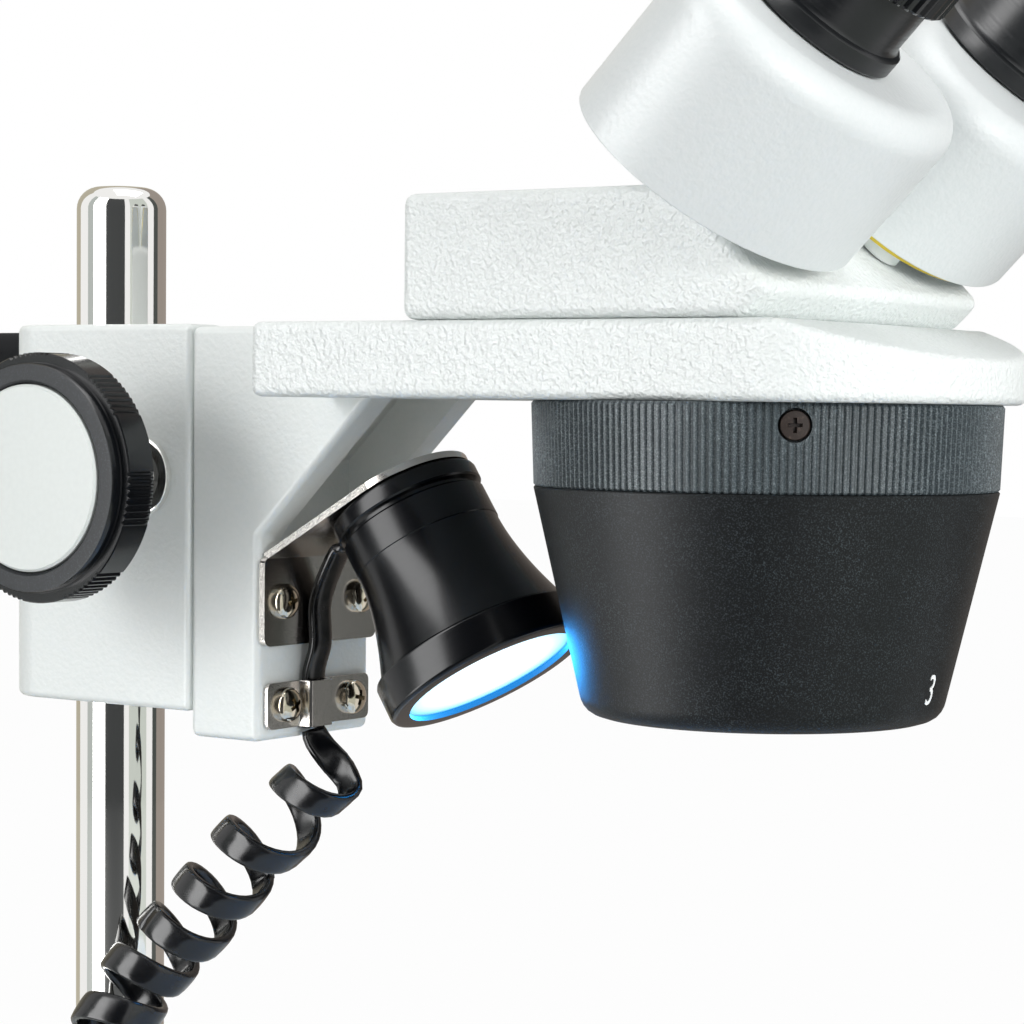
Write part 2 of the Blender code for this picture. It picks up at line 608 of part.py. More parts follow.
def make_drive(block_group, colours):
    """Pinion cut on the cross shaft, with a knob and a white cap at each end."""
    drive = group("pinion", block_group, (SHAFT_X, 0, -SHAFT_DROP))
    half = PINION_WIDTH / 2
    gear = solid("pinion_shaft", prism(gear_outline(), -half, half, "Y"), colours["steel"], drive)
    shaft_end = KNOB_BACK + KNOB_RIM / 2
    weld(gear, rod(SHAFT_RADIUS, -shaft_end, shaft_end, SMALL, "Y"))
    front = KNOB_BACK + KNOB_RIM + KNOB_FACE
    face_radius, recess = KNOB_RADIUS - KNOB_STEP, CAP_RADIUS + GAP
    floor = front - CAP_THICKNESS - GAP
    bevel, hub = KNOB_FACE * 0.4, SLEEVE_END + GAP
    profile = [(0, front), (face_radius - bevel, front), (face_radius, front - bevel),
               (face_radius, shaft_end), (SLEEVE_RADIUS, shaft_end), (SLEEVE_RADIUS, hub), (0, hub)]
    for name, turn in (("near", -1), ("far", 1)):
        def span(low, high):
            return sorted((turn * low, turn * high))

        grip = ribbed(KNOB_RADIUS, KNOB_RIBS, KNOB_GROUPS, 0.5)
        rim = prism(grip, *span(KNOB_BACK, KNOB_BACK + KNOB_RIM), "Y")
        knob = solid("focus_knob_" + name, rim, colours["black"], drive)
        weld(knob, turned([(r, turn * z) for r, z in profile], ROUND, "Y"))
        cut(knob, rod(SHAFT_RADIUS + GAP, *span(SLEEVE_END - MM, shaft_end + GAP), SMALL, "Y"))
        cut(knob, rod(recess, *span(floor, front + MM), ROUND, "Y"))
        cap = rod(CAP_RADIUS, *span(floor + GAP, front + GAP), ROUND, "Y")
        solid("knob_cap_" + name, cap, colours["white"], drive)


def make_arm(block_group, colours):
    """The casting that carries the head: an upright leg, a wide nose plate and a hollow gusset."""
    carriage = group("carriage", block_group, (0, 0, 0))
    side, wide = BLOCK_WIDTH / 2, PLATE_WIDTH / 2
    straight = OPTIC_X + PLATE_LEAD
    rear = straight - PLATE_LENGTH
    corners = [(ARM_REAR, -side), (rear, -side), (rear, -wide), (straight, -wide)]
    near = rounded(corners, [0, 0, PLATE_CORNER, 0], 3)
    nose = []
    for k in range(1, 16):
        along, across = polar(1, math.pi * (k / 16 - 0.5))
        nose.append((straight + PLATE_NOSE * along, wide * across))
    plan = near + nose + [(x, -y) for x, y in reversed(near)]
    arm = solid("arm", prism(plan, 0, PLATE_THICKNESS), colours["white"], carriage)
    soften(arm, ARM_EDGE)
    start, front = straight + PLATE_FLAT, straight + PLATE_NOSE
    beyond = front + (front - start)
    ramp = [(start, PLATE_THICKNESS), (beyond, PLATE_THICKNESS - 2 * PLATE_FALL),
            (beyond, PLATE_THICKNESS + MM), (start, PLATE_THICKNESS + MM)]
    cut(arm, prism(ramp, -PLATE_WIDTH, PLATE_WIDTH, "Y"))
    leg = box(ARM_THICKNESS, BLOCK_WIDTH, (ARM_REAR + ARM_FRONT) / 2)
    soften(weld(arm, prism(leg, -ARM_DROP, PLATE_THICKNESS)), ARM_EDGE)
    sunk = PLATE_THICKNESS * 0.3
    root = ARM_FRONT - sunk
    web = [(root, -GUSSET_LEG - sunk), (ARM_FRONT + GUSSET_LEG + sunk, sunk), (root, sunk)]
    weld(arm, prism(web, -side + GAP, side - GAP, "Y"))
    depth = GUSSET_RECESS * math.sqrt(2)
    inner, reach = side - GUSSET_WALL, GUSSET_LEG + GUSSET_RECESS
    hollow = [(ARM_FRONT, depth - GUSSET_LEG), (ARM_FRONT + GUSSET_LEG - depth, 0), (ARM_FRONT + reach, 0),
              (ARM_FRONT + reach, -reach), (ARM_FRONT, -reach)]
    cut(arm, prism(hollow, -inner, inner, "Y"))
    cut(arm, rod(BOLT_RADIUS + GAP, -MM, PLATE_THICKNESS - 2 * MM, SMALL), (TURRET_X, 0, 0))
    for y in (-PIVOT_Y, PIVOT_Y):
        cut(arm, rod(LIGHT_HOLE, -MM, PLATE_THICKNESS + MM), (OPTIC_X, y, 0))

    bar = [(BLOCK_FRONT, -SLIDE_MOUTH / 2), (BLOCK_FRONT, SLIDE_MOUTH / 2),
           (SLIDE_BACK, SLIDE_ROOT / 2), (SLIDE_BACK, -SLIDE_ROOT / 2)]
    slide = prism(bar, ARM_EDGE - ARM_DROP, PLATE_THICKNESS - ARM_EDGE)
    solid("focus_slide", slide, colours["steel"], carriage)
    teeth = rack_outline(SHAFT_X + PITCH_RADIUS, SLIDE_BACK - GAP, -SHAFT_DROP - RACK_LENGTH / 2,
                         RACK_LENGTH / 2 - SHAFT_DROP, -SHAFT_DROP)
    half = PINION_WIDTH / 2 - GAP
    solid("focus_rack", prism(teeth, -half, half, "Y"), colours["brass"], carriage)
    return carriage


def make_lamp(carriage, colours):
    """Lamp pieces are turned about the lamp's own axis, whose +Z points back from the lens."""
    lamp = group("lamp", carriage, (LAMP_X, 0, -LAMP_DROP), -LAMP_TILT)
    seam, body_end = LAMP_FRONT_LENGTH, LAMP_LENGTH - LAMP_CAP_LENGTH
    bore, inner = LAMP_LENS_RADIUS + GAP, LAMP_BODY_RADIUS - LAMP_WALL
    lens_low = LAMP_LIP + GAP
    lens_seat = lens_low + LAMP_LENS_THICKNESS + GAP
    wide = LAMP_FRONT_RADIUS
    front = [(LAMP_LENS_RADIUS - LAMP_LIP, 0), (wide - MM, 0), (wide, 1.5 * MM), (wide, seam * 0.74),
             (LAMP_BODY_RADIUS + LAMP_LIP, seam - GAP), (inner, seam - GAP), (inner, lens_seat),
             (bore, lens_seat), (bore, LAMP_LIP), (LAMP_LENS_RADIUS - LAMP_LIP, LAMP_LIP)]
    solid("lamp_front_ring", turned(front), colours["black"], lamp)
    outside, inside = [], []
    for k in range(5):
        t = k / 4
        radius = LAMP_BACK_RADIUS + (LAMP_BODY_RADIUS - LAMP_BACK_RADIUS) * (1 - t) ** 2
        outside.append((radius, seam + (body_end - GAP - seam) * t))
        inside.append((radius - LAMP_WALL, seam + (body_end - GAP - seam) * t))
    solid("lamp_housing", turned(outside + inside[::-2]), colours["black"], lamp)
    edge, neck = LAMP_BACK_RADIUS + GAP, LAMP_BACK_RADIUS - LAMP_WALL / 2
    cap = [(0, LAMP_LENGTH), (edge - LAMP_LIP, LAMP_LENGTH), (edge, LAMP_LENGTH - LAMP_LIP),
           (edge, body_end + LAMP_LIP), (neck, body_end + LAMP_LIP), (neck, body_end), (0, body_end)]
    solid("lamp_back_cap", turned(cap), colours["black"], lamp)
    glass = rod(LAMP_LENS_RADIUS, lens_low, lens_low + LAMP_LENS_THICKNESS)
    solid("lamp_lens", glass, colours["lamp_glass"], lamp)
    board_low = seam - GAP - BOARD_THICKNESS
    board = rod(inner - GAP, board_low, board_low + BOARD_THICKNESS)
    led = solid("led_board", board, colours["board"], lamp)
    weld(led, rod(inner * 0.4, lens_seat + GAP, board_low + BOARD_THICKNESS / 2, SMALL))


def make_bracket(carriage, colours):
    """Bent sheet: a plate on the leg's front and a tongue with a round end over the lamp."""
    face = ARM_FRONT + GAP
    side = BLOCK_WIDTH / 2
    bend = -BRACKET_BEND_DROP
    corners = box(2 * side, BRACKET_PLATE, 0, bend - BRACKET_PLATE / 2)
    soft = 2 * BRACKET_SHEET
    outline = rounded(corners, [BRACKET_SHEET, BRACKET_SHEET, soft, soft], 3)
    plate = prism(outline, face, face + BRACKET_SHEET, "X")
    bracket = solid("lamp_bracket", plate, colours["chrome"], carriage)
    length = (LAMP_BACK_X - BRACKET_BEND_X) / math.cos(LAMP_TILT) + BRACKET_SHEET / 2
    outline = [(-length, -BRACKET_TONGUE)]
    for k in range(13):
        outline.append(polar(BRACKET_TONGUE, math.pi * (k / 12 - 0.5)))
    outline.append((-length, BRACKET_TONGUE))
    tongue = prism(outline, 0, BRACKET_SHEET)
    turn = Matrix.Translation((LAMP_BACK_X, 0, -LAMP_BACK_DROP)) @ Matrix.Rotation(-LAMP_TILT, 4, "Y")
    bmesh.ops.transform(tongue, matrix=turn, verts=tongue.verts)
    weld(bracket, tongue)


def make_cord_clip(carriage, colours):
    """Pressed saddle that holds the flat lead against the leg."""
    half, sheet = CORD_WIDTH / 2 + GAP, CORD_CLIP_SHEET
    hump = CORD_THICKNESS + 2 * GAP
    end = CORD_CLIP_SPAN / 2
    left, right = CORD_Y - half, CORD_Y + half
    under = [(-end, 0), (left, 0), (left, hump), (right, hump), (right, 0), (end, 0)]
    over = [(-end, sheet), (left - sheet, sheet), (left - sheet, hump + sheet),
            (right + sheet, hump + sheet), (right + sheet, sheet), (end, sheet)]
    face = ARM_FRONT + GAP
    saddle = [(face + x, y) for y, x in under + over[::-1]]
    solid("cord_clip", prism(saddle, -CORD_CLIP_END, -CORD_CLIP_DROP), colours["chrome"], carriage)


def smooth_path(points, count):
    """Points at even steps on a smooth curve through the given ones."""
    samples = []
    ends = [2 * points[0] - points[1]] + points + [2 * points[-1] - points[-2]]
    for k in range(count + 1):
        place = (len(points) - 1) * k / count
        i = min(int(place), len(points) - 2)
        t = place - i
        a, b, c, d = ends[i:i + 4]
        curve = 2 * b + (c - a) * t + (2 * a - 5 * b + 4 * c - d) * t ** 2 + (3 * b - a - 3 * c + d) * t ** 3
        samples.append(curve / 2)
    return samples


def direction(points, i):
    return (points[min(i + 1, len(points) - 1)] - points[max(i - 1, 0)]).normalized()


def band(points, ways):
    """A flat cord swept along points; ways holds the direction of its width at each of them."""
    section = [(1, 0.5), (0.78, 1), (-0.78, 1), (-1, 0.5), (-1, -0.5), (-0.78, -1), (0.78, -1), (1, -0.5)]
    shape = bmesh.new()
    loops = []
    for i, point in enumerate(points):
        along = direction(points, i)
        wide = (ways[i] - along * ways[i].dot(along)).normalized()
        thin = along.cross(wide)
        spots = [wide * (CORD_WIDTH / 2 * a) + thin * (CORD_THICKNESS / 2 * b) for a, b in section]
        loops.append([shape.verts.new(point + spot) for spot in spots])
    for first, second in zip(loops, loops[1:]):
        for k in range(len(section)):
            n = (k + 1) % len(section)
            shape.faces.new((first[k], first[n], second[n], second[k]))
    shape.faces.new(loops[0])
    shape.faces.new(loops[-1])
    return shape


def make_lead(carriage, colours):
    """From the lamp's back the flat lead runs down the leg and through the clip."""
    on_leg = ARM_FRONT + 2 * GAP + CORD_THICKNESS / 2
    on_plate = on_leg + BRACKET_SHEET + GAP
    rear = Vector((-math.cos(LAMP_TILT), 0, -math.sin(LAMP_TILT)))
    back = Vector((-math.sin(LAMP_TILT), 0, math.cos(LAMP_TILT)))
    cap_middle = Vector((LAMP_X, CORD_Y, -LAMP_DROP)) + back * (LAMP_LENGTH - LAMP_CAP_LENGTH / 2)
    start = cap_middle + rear * (LAMP_BACK_RADIUS + 2 * GAP)
    clip_top = -CORD_CLIP_DROP
    route = [start, start + rear * (0.37 * (start.x - on_plate)),
             Vector((on_plate, CORD_Y, -BRACKET_BEND_DROP - BRACKET_PLATE / 2)),
             Vector((on_plate, CORD_Y, clip_top + CORD_CLIP_BELOW)),
             Vector((on_leg, CORD_Y, clip_top + 2 * GAP)),
             Vector((on_leg, CORD_Y, -CORD_CLIP_END - GAP))]
    points = smooth_path(route, 15)
    solid("lamp_lead", band(points, [Vector((0, 1, 0))] * len(points)), colours["cord"], carriage)
    return points[-1]


def make_cord(carriage, lead_end, colours):
    """Below the clip the cord curls down to the gland in the base, on the pillar's near side."""
    top = lead_end - Vector((0, 0, GAP))
    bottom = Vector((GLAND_X, GLAND_Y, BASE_TOP_Z + 2 * GAP + GLAND_HEIGHT - PLATE_Z))
    shares = [(-0.18, 0.0, 0.1), (0.3, 0.15, 0.333), (0.625, 0.26, 0.533), (0.87, 0.48, 0.7),
              (1.0, 0.85, 0.89)]
    axis = [Vector((t + (b - t) * s for t, b, s in zip(top, bottom, share))) for share in shares]
    steps = CURLS * CURL_POINTS
    spine = smooth_path(axis, steps)
    curls, ways = [], []
    for k, middle in enumerate(spine):
        along = direction(spine, k)
        right = along.cross(Vector((0, 1, 0))).normalized()
        near = along.cross(right)
        swell = min(1.0, 0.4 + 0.3 * k, 0.4 + 0.3 * (steps - k))
        angle = 2 * math.pi * k / CURL_POINTS - math.radians(60)
        outward = right * math.cos(angle) + near * math.sin(angle)
        curls.append(middle + outward * (CURL_RADIUS * swell))
        ways.append(along)
    straight = Vector((0, 0, CORD_THICKNESS * 1.5))
    points = [top, top - straight] + curls + [bottom + straight, bottom]
    flat, last = Vector((0, -1, 0)), -direction(curls, steps)
    ways = [flat, flat * 2 + ways[0]] + ways + [last, last]
    solid("lamp_cord", band(points, ways), colours["cord"], carriage)
    apart = CURL_POINTS * 2 // 3
    pairs = [(i, j) for i in range(len(points)) for j in range(i + apart, len(points))]
    least = min((points[i] - points[j]).length for i, j in pairs) - CORD_WIDTH
    print("curly cord: %d curls, least gap to itself %.2f mm" % (CURLS, least / MM))


def make_head(carriage, colours):
    """Crinkle-painted box with a 45 degree face, on which the two prism housings turn."""
    low = PLATE_THICKNESS + GAP
    tip, top = low + NOSE_HEIGHT, low + HEAD_HEIGHT
    slope_top = NOSE_X - (top - tip) / math.tan(TUBE_TILT)
    rear = NOSE_X - HEAD_LENGTH
    corners = [(rear, low), (NOSE_X - NOSE_UNDERCUT, low), (NOSE_X, tip), (slope_top, top), (rear, top)]
    side = PLATE_WIDTH / 2 - HEAD_INSET
    shape = prism(rounded(corners, [0, 0, MM, HEAD_EDGE, 1.5 * HEAD_EDGE], 3), -side, side, "Y")
    soften(solid("head_housing", shape, colours["white"], carriage), HEAD_EDGE)
    for name, turn in (("near", -1), ("far", 1)):
        place = ((slope_top + NOSE_X) / 2, turn * PIVOT_Y, (top + tip) / 2)
        make_pod(name, turn, group("pod_" + name, carriage, place, TUBE_TILT), colours)


def make_pod(name, turn, pod, colours):
    """One half of the binocular about its pivot: base plate, prism, housing, eye tube and eyepiece."""
    def outline(shrink):
        flat = ellipse(POD_LONG - shrink, POD_SHORT - shrink, POD_TURN)
        return [(b - POD_UP, turn * (POD_SIDE + a)) for a, b in flat]

    low = POD_LIFT + GAP
    top = low + POD_HEIGHT
    plate = prism(outline(POD_BASE_INSET), POD_LIFT - POD_BASE, POD_LIFT)
    base = solid("prism_base_" + name, plate, colours["brass"], pod)
    weld(base, rod(HUB_RADIUS, GAP, POD_LIFT - POD_BASE / 2))
    cut(base, rod(HUB_RADIUS * 0.7, 0, POD_LIFT + MM, SMALL))
    housing = solid("prism_housing_" + name, prism(outline(0), low - POD_EDGE, top), colours["grey"], pod)
    soften(housing, POD_EDGE, 3, 60)
    cut(housing, prism(outline(-MM), low - POD_EDGE - MM, low))
    cut(housing, prism(outline(POD_WALL), low - POD_EDGE, top - POD_WALL))
    tube_at = (-TUBE_UP, turn * TUBE_SIDE, 0)
    cut(housing, rod(TUBE_RADIUS - 2 * TUBE_WALL, top - 2 * POD_WALL, top + MM), tube_at)
    size = PRISM_SIZE
    near, far, high = size * 0.35, TUBE_SIDE + size * 0.45, low + size * 0.9
    wedge = [(near, low), (far - size * 0.7, low), (far, high), (near + size * 0.7, high)]
    middle = -POD_UP
    glass = prism([(turn * y, z) for y, z in wedge], middle - size / 2, middle + size / 2, "X")
    solid("prism_" + name, glass, colours["glass"], pod)
    tube_top = make_eye_tube(name, top + GAP, tube_at, pod, colours)
    if turn < 0:
        knurl = group("diopter", pod, tube_at)
        ring_top = tube_top - 2 * TUBE_WALL
        outside = ribbed(TUBE_RADIUS + GAP + DIOPTER_WALL, DIOPTER_RIBS)
        shape = prism(outside, ring_top - DIOPTER_LENGTH, ring_top)
        grip = solid("diopter_ring", shape, colours["black"], knurl)
        cut(grip, rod(TUBE_RADIUS + GAP, ring_top - DIOPTER_LENGTH - MM, ring_top + MM))


def make_eye_tube(name, foot, tube_at, pod, colours):
    tube_top = foot + TUBE_LENGTH
    inner, flange = TUBE_RADIUS - TUBE_WALL, TUBE_RADIUS + TUBE_FLANGE
    collar = foot + 2 * TUBE_WALL
    tube = [(inner, foot), (flange, foot), (flange, collar), (TUBE_RADIUS, collar + TUBE_FLANGE),
            (TUBE_RADIUS, tube_top), (inner, tube_top)]
    solid("eye_tube_" + name, turned(tube), colours["black"], pod, tube_at)
    low = tube_top + GAP
    top = low + EYEPIECE_LENGTH
    wide, spigot = EYEPIECE_RADIUS, inner - GAP
    barrel = [(0, top - 3 * MM), (wide * 0.62, top - 2.4 * MM), (wide * 0.7, top), (wide, top), (wide, low),
              (spigot, low), (spigot, low - EYEPIECE_SPIGOT), (0, low - EYEPIECE_SPIGOT)]
    solid("eyepiece_" + name, turned(barrel), colours["black"], pod, tube_at)
    grip = wide + GAP
    cup_low, cup_top = top - EYECUP_LENGTH * 0.6, top + EYECUP_LENGTH * 0.4
    cup = [(grip, cup_low), (grip + EYECUP_WALL, cup_low), (grip + EYECUP_WALL + EYECUP_FLARE, cup_top),
           (grip + EYECUP_FLARE, cup_top), (grip, top + GAP)]
    solid("eyecup_" + name, turned(cup), colours["rubber"], pod, tube_at)
    return tube_top


def make_turret(carriage, colours):
    """Hollow cone with two pairs of objectives under a knurled ring, turning on a bolt in the plate."""
    turret = group("turret", carriage, (TURRET_X, 0, -GAP))
    seat = -RING_HEIGHT - GAP
    low = seat - CONE_HEIGHT
    floor = low + CONE_FLOOR
    wide = RING_RADIUS - RING_DRAFT
    neck = RING_RADIUS - RING_WALL - GAP
    slope = CONE_FLARE / CONE_HEIGHT
    profile = [(0, floor), (CONE_END + slope * CONE_FLOOR - CONE_WALL, floor), (neck - CONE_WALL, seat),
               (neck - CONE_WALL, -GAP), (neck, -GAP), (neck, seat), (wide, seat),
               (CONE_END + slope * CONE_ROUND, low + CONE_ROUND),
               (CONE_END - CONE_ROUND / 4, low + CONE_ROUND / 4), (CONE_END - CONE_ROUND, low), (0, low)]
    body = solid("turret_body", turned(profile, FINE), colours["black"], turret)
    cut(body, rod(BOLT_RADIUS + GAP, low - MM, floor + MM, SMALL))
    cut(body, rod(BOLT_HEAD + GAP, low - MM, low + BOLT_HEAD_HEIGHT + 2 * GAP, SMALL))
    end = low + GAP
    bore, high = OBJECTIVE_RADIUS - OBJECTIVE_WALL, end + OBJECTIVE_LENGTH
    lens = end + OBJECTIVE_WALL
    cell = [(0, lens + LENS_THICKNESS), (bore, lens + LENS_THICKNESS), (bore, high), (OBJECTIVE_RADIUS, high),
            (OBJECTIVE_RADIUS, end), (bore, end), (bore, lens), (0, lens - OBJECTIVE_WALL / 2)]
    places = [(x, y, 0) for x in (TURRET_OFFSET, -TURRET_OFFSET) for y in (-PIVOT_Y, PIVOT_Y)]
    for number, place in enumerate(places, 1):
        cut(body, rod(OBJECTIVE_RADIUS + GAP, low - MM, floor + MM, SMALL), place)
        solid("objective_%d" % number, turned(cell, SMALL), colours["black"], turret, place)
    knurl = prism(ribbed(RING_RADIUS, RING_RIBS), -RING_HEIGHT, 0)
    lower = [v for v in knurl.verts if v.co.z < -RING_HEIGHT / 2]
    draft = wide / RING_RADIUS
    bmesh.ops.scale(knurl, vec=(draft, draft, 1), verts=lower)
    grip = solid("turret_ring", knurl, colours["black"], turret)
    cut(grip, rod(neck + GAP, -RING_HEIGHT - MM, MM, FINE))
    shank_low, shank_top = low + BOLT_HEAD_HEIGHT, PLATE_THICKNESS - 3 * MM
    bolt = [(0, shank_top), (BOLT_RADIUS, shank_top), (BOLT_RADIUS, shank_low), (BOLT_HEAD, shank_low),
            (BOLT_HEAD, low), (0, low)]
    solid("turret_bolt", turned(bolt, SMALL), colours["steel"], carriage, (TURRET_X, 0, 0))


def main():
    clear_scene()
    colours = {
        "white": paint("white_paint", (0.80, 0.84, 0.82), 0.45),
        "grey": paint("pale_grey_paint", (0.74, 0.77, 0.76), 0.35),
        "black": paint("black_anodised", (0.012, 0.014, 0.017), 0.4),
        "rubber": paint("black_rubber", (0.015, 0.015, 0.016), 0.8),
        "chrome": paint("chrome_plate", (0.62, 0.60, 0.58), 0.12, 1.0),
        "steel": paint("zinc_plated_steel", (0.55, 0.56, 0.57), 0.3, 1.0),
        "brass": paint("yellow_brass", (0.72, 0.56, 0.20), 0.35, 1.0),
        "disc": paint("white_stage_plastic", (0.82, 0.83, 0.82), 0.5),
        "glass": paint("optical_glass", (0.85, 0.92, 0.92), 0.05),
        "lamp_glass": paint("lamp_glass", (0.75, 0.93, 1.0), 0.2),
        "board": paint("green_board", (0.02, 0.16, 0.06), 0.5),
        "cord": paint("black_cord", (0.012, 0.013, 0.015), 0.25),
    }
    stand = group("stand", None, (PILLAR_WORLD_X, 0, 0))
    make_base(stand, colours)
    make_pillar(stand, colours)
    carriage = make_arm(make_focus_block(stand, colours), colours)
    make_lamp(carriage, colours)
    make_bracket(carriage, colours)
    make_cord_clip(carriage, colours)
    make_cord(carriage, make_lead(carriage, colours), colours)
    make_head(carriage, colours)
    make_turret(carriage, colours)


main()
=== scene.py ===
# %% [markdown]
# # Dressing a stereo microscope
# The solids of the microscope are already made and jointed. This lesson loads them as a fixed frame and
# gives them their finishes: crinkle paint, knurled black metal, plated steel and a curly cord. Round or
# bevelled pieces are modelled again with finer faces, and each new piece except the cord's three lengths
# rides on the body it belongs to.

# %% Load the frame
import math

import bpy
from mathutils import Matrix, Vector


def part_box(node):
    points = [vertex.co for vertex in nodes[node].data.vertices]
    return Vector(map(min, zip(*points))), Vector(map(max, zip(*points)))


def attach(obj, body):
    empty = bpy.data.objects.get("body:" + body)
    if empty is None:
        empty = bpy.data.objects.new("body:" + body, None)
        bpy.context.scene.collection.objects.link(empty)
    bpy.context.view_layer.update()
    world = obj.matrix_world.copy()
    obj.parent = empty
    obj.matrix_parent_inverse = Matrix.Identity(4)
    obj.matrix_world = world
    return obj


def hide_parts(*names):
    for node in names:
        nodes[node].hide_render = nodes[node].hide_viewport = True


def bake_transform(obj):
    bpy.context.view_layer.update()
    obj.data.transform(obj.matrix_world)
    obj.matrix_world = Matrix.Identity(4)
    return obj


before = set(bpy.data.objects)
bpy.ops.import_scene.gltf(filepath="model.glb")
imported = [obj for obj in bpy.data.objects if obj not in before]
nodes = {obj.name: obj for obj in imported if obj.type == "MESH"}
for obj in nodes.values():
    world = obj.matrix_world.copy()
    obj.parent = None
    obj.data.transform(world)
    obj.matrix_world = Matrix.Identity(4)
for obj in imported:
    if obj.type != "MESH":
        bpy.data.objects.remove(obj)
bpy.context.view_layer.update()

MM = 0.001

# %% [markdown]
# Most sizes are easiest to read from two places on the real stand: the pillar's axis and the underside of
# the wide plate that carries the optics. A short function turns millimetres from there into the frame's
# metres, so every number below can be checked with a ruler.

# %% Measure from the pillar and the plate
low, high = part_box("pillar")
PILLAR_X = (low.x + high.x) / 2
PLATE_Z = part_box("focus_block")[1].z - 12.4 * MM


def at(x, y, z):
    return Vector((PILLAR_X + x * MM, y * MM, PLATE_Z + z * MM))


print("pillar axis at x = %.1f mm, plate at z = %.1f mm" % (PILLAR_X / MM, PLATE_Z / MM))

# %% [markdown]
# The camera stands where the photographer's did: a little above the plate, to the front left, with a long
# lens, so that the upright edges stay nearly parallel. The picture was cropped after it was taken, and the
# lens shift gives that crop without turning the camera.

# %% Camera
AZIMUTH, ELEVATION, ROLL = math.radians(33.666), math.radians(3.863), math.radians(0.719)
back = Vector((math.sin(AZIMUTH) * math.cos(ELEVATION), -math.cos(AZIMUTH) * math.cos(ELEVATION),
               math.sin(ELEVATION)))
right = Vector((math.cos(AZIMUTH), math.sin(AZIMUTH), 0))
up = back.cross(right)
tilted_right = right * math.cos(ROLL) + up * math.sin(ROLL)
tilted_up = up * math.cos(ROLL) - right * math.sin(ROLL)
turn = Matrix((tilted_right, tilted_up, back)).transposed().to_4x4()
bpy.ops.object.camera_add()
camera = bpy.context.object
camera.matrix_world = Matrix.Translation(at(351.3, -383.0, -1.44)) @ turn
camera.data.sensor_width = 36
camera.data.lens = 99.25
camera.data.shift_x, camera.data.shift_y = -0.0469, 0.0859
camera.data.clip_start = 0.01
bpy.context.scene.camera = camera
print("camera: %.0f mm lens" % camera.data.lens)

# %% [markdown]
# Colours are written as on a paint chart, in sRGB hex, and one function turns them into the linear numbers
# that a shader mixes. A second one adds a node, sets its inputs and links it, and every material below is
# made of those two.

# %% Colour and node helpers


def colour(code):
    parts = [int(code[i:i + 2], 16) / 255 for i in (1, 3, 5)]
    return [p / 12.92 if p <= 0.04045 else ((p + 0.055) / 1.055) ** 2.4 for p in parts] + [1.0]


def add(tree, kind, inputs=(), **settings):
    """A node with its settings; an input is a value, or a node and the name of its output."""
    made = tree.nodes.new(kind)
    for name, value in settings.items():
        setattr(made, name, value)
    for name, value in dict(inputs).items():
        if isinstance(value, tuple) and isinstance(value[0], bpy.types.Node):
            tree.links.new(value[0].outputs[value[1]], made.inputs[name])
        else:
            made.inputs[name].default_value = value
    return made


def material(name, base, roughness, metallic=0.0, **more):
    """A principled material; returns it with its tree, its shader and the object's own coordinates."""
    made = bpy.data.materials.new(name)
    made.use_nodes = True
    tree = made.node_tree
    shader = tree.nodes["Principled BSDF"]
    shader.inputs["Base Color"].default_value = colour(base)
    shader.inputs["Roughness"].default_value = roughness
    shader.inputs["Metallic"].default_value = metallic
    for socket, value in more.items():
        shader.inputs[socket.replace("_", " ")].default_value = value
    place = add(tree, "ShaderNodeTexCoord")
    return made, tree, shader, (place, "Object")


print("helpers ready")

# %% [markdown]
# A cord comes before the other pieces, because it has to lie exactly where the solid one does. The real one
# is a flat two-core lead, moulded into curls. It is made as a sweep: a rounded flat section is carried along
# the route, and its width always lies along the axis of the curls. The route's points are the solid's own.
# The head rises, swings and focuses over the base, so the cord is cut into three lengths that meet end to end,
# one for each of these movements, though none of them is tied to a body here.

# %% Sweep of a flat lead
CORD_WIDTH, CORD_THICKNESS = 5.2, 1.8
CORD_Y = -2.2


def smooth_path(points, count):
    samples = []
    ends = [2 * points[0] - points[1]] + points + [2 * points[-1] - points[-2]]
    for k in range(count + 1):
        place = (len(points) - 1) * k / count
        i = min(int(place), len(points) - 2)
        t = place - i
        a, b, c, d = ends[i:i + 4]
        curve = 2 * b + (c - a) * t + (2 * a - 5 * b + 4 * c - d) * t ** 2 + (3 * b - a - 3 * c + d) * t ** 3
        samples.append(curve / 2)
    return samples


def direction(points, i):
    return (points[min(i + 1, len(points) - 1)] - points[max(i - 1, 0)]).normalized()


def flat_section(count=20):
    """Half width and half thickness of the lead round its section, with a shallow dip between the cores."""
    section = []
    for k in range(count):
        angle = 2 * math.pi * (k + 0.5) / count
        across, over = math.cos(angle), math.sin(angle)
        across = math.copysign(abs(across) ** 0.7, across)
        over = math.copysign(abs(over) ** 0.45, over)
        over *= 1 - 0.16 * math.exp(-(across / 0.16) ** 2)
        section.append((across * CORD_WIDTH / 2, over * CORD_THICKNESS / 2))
    return section


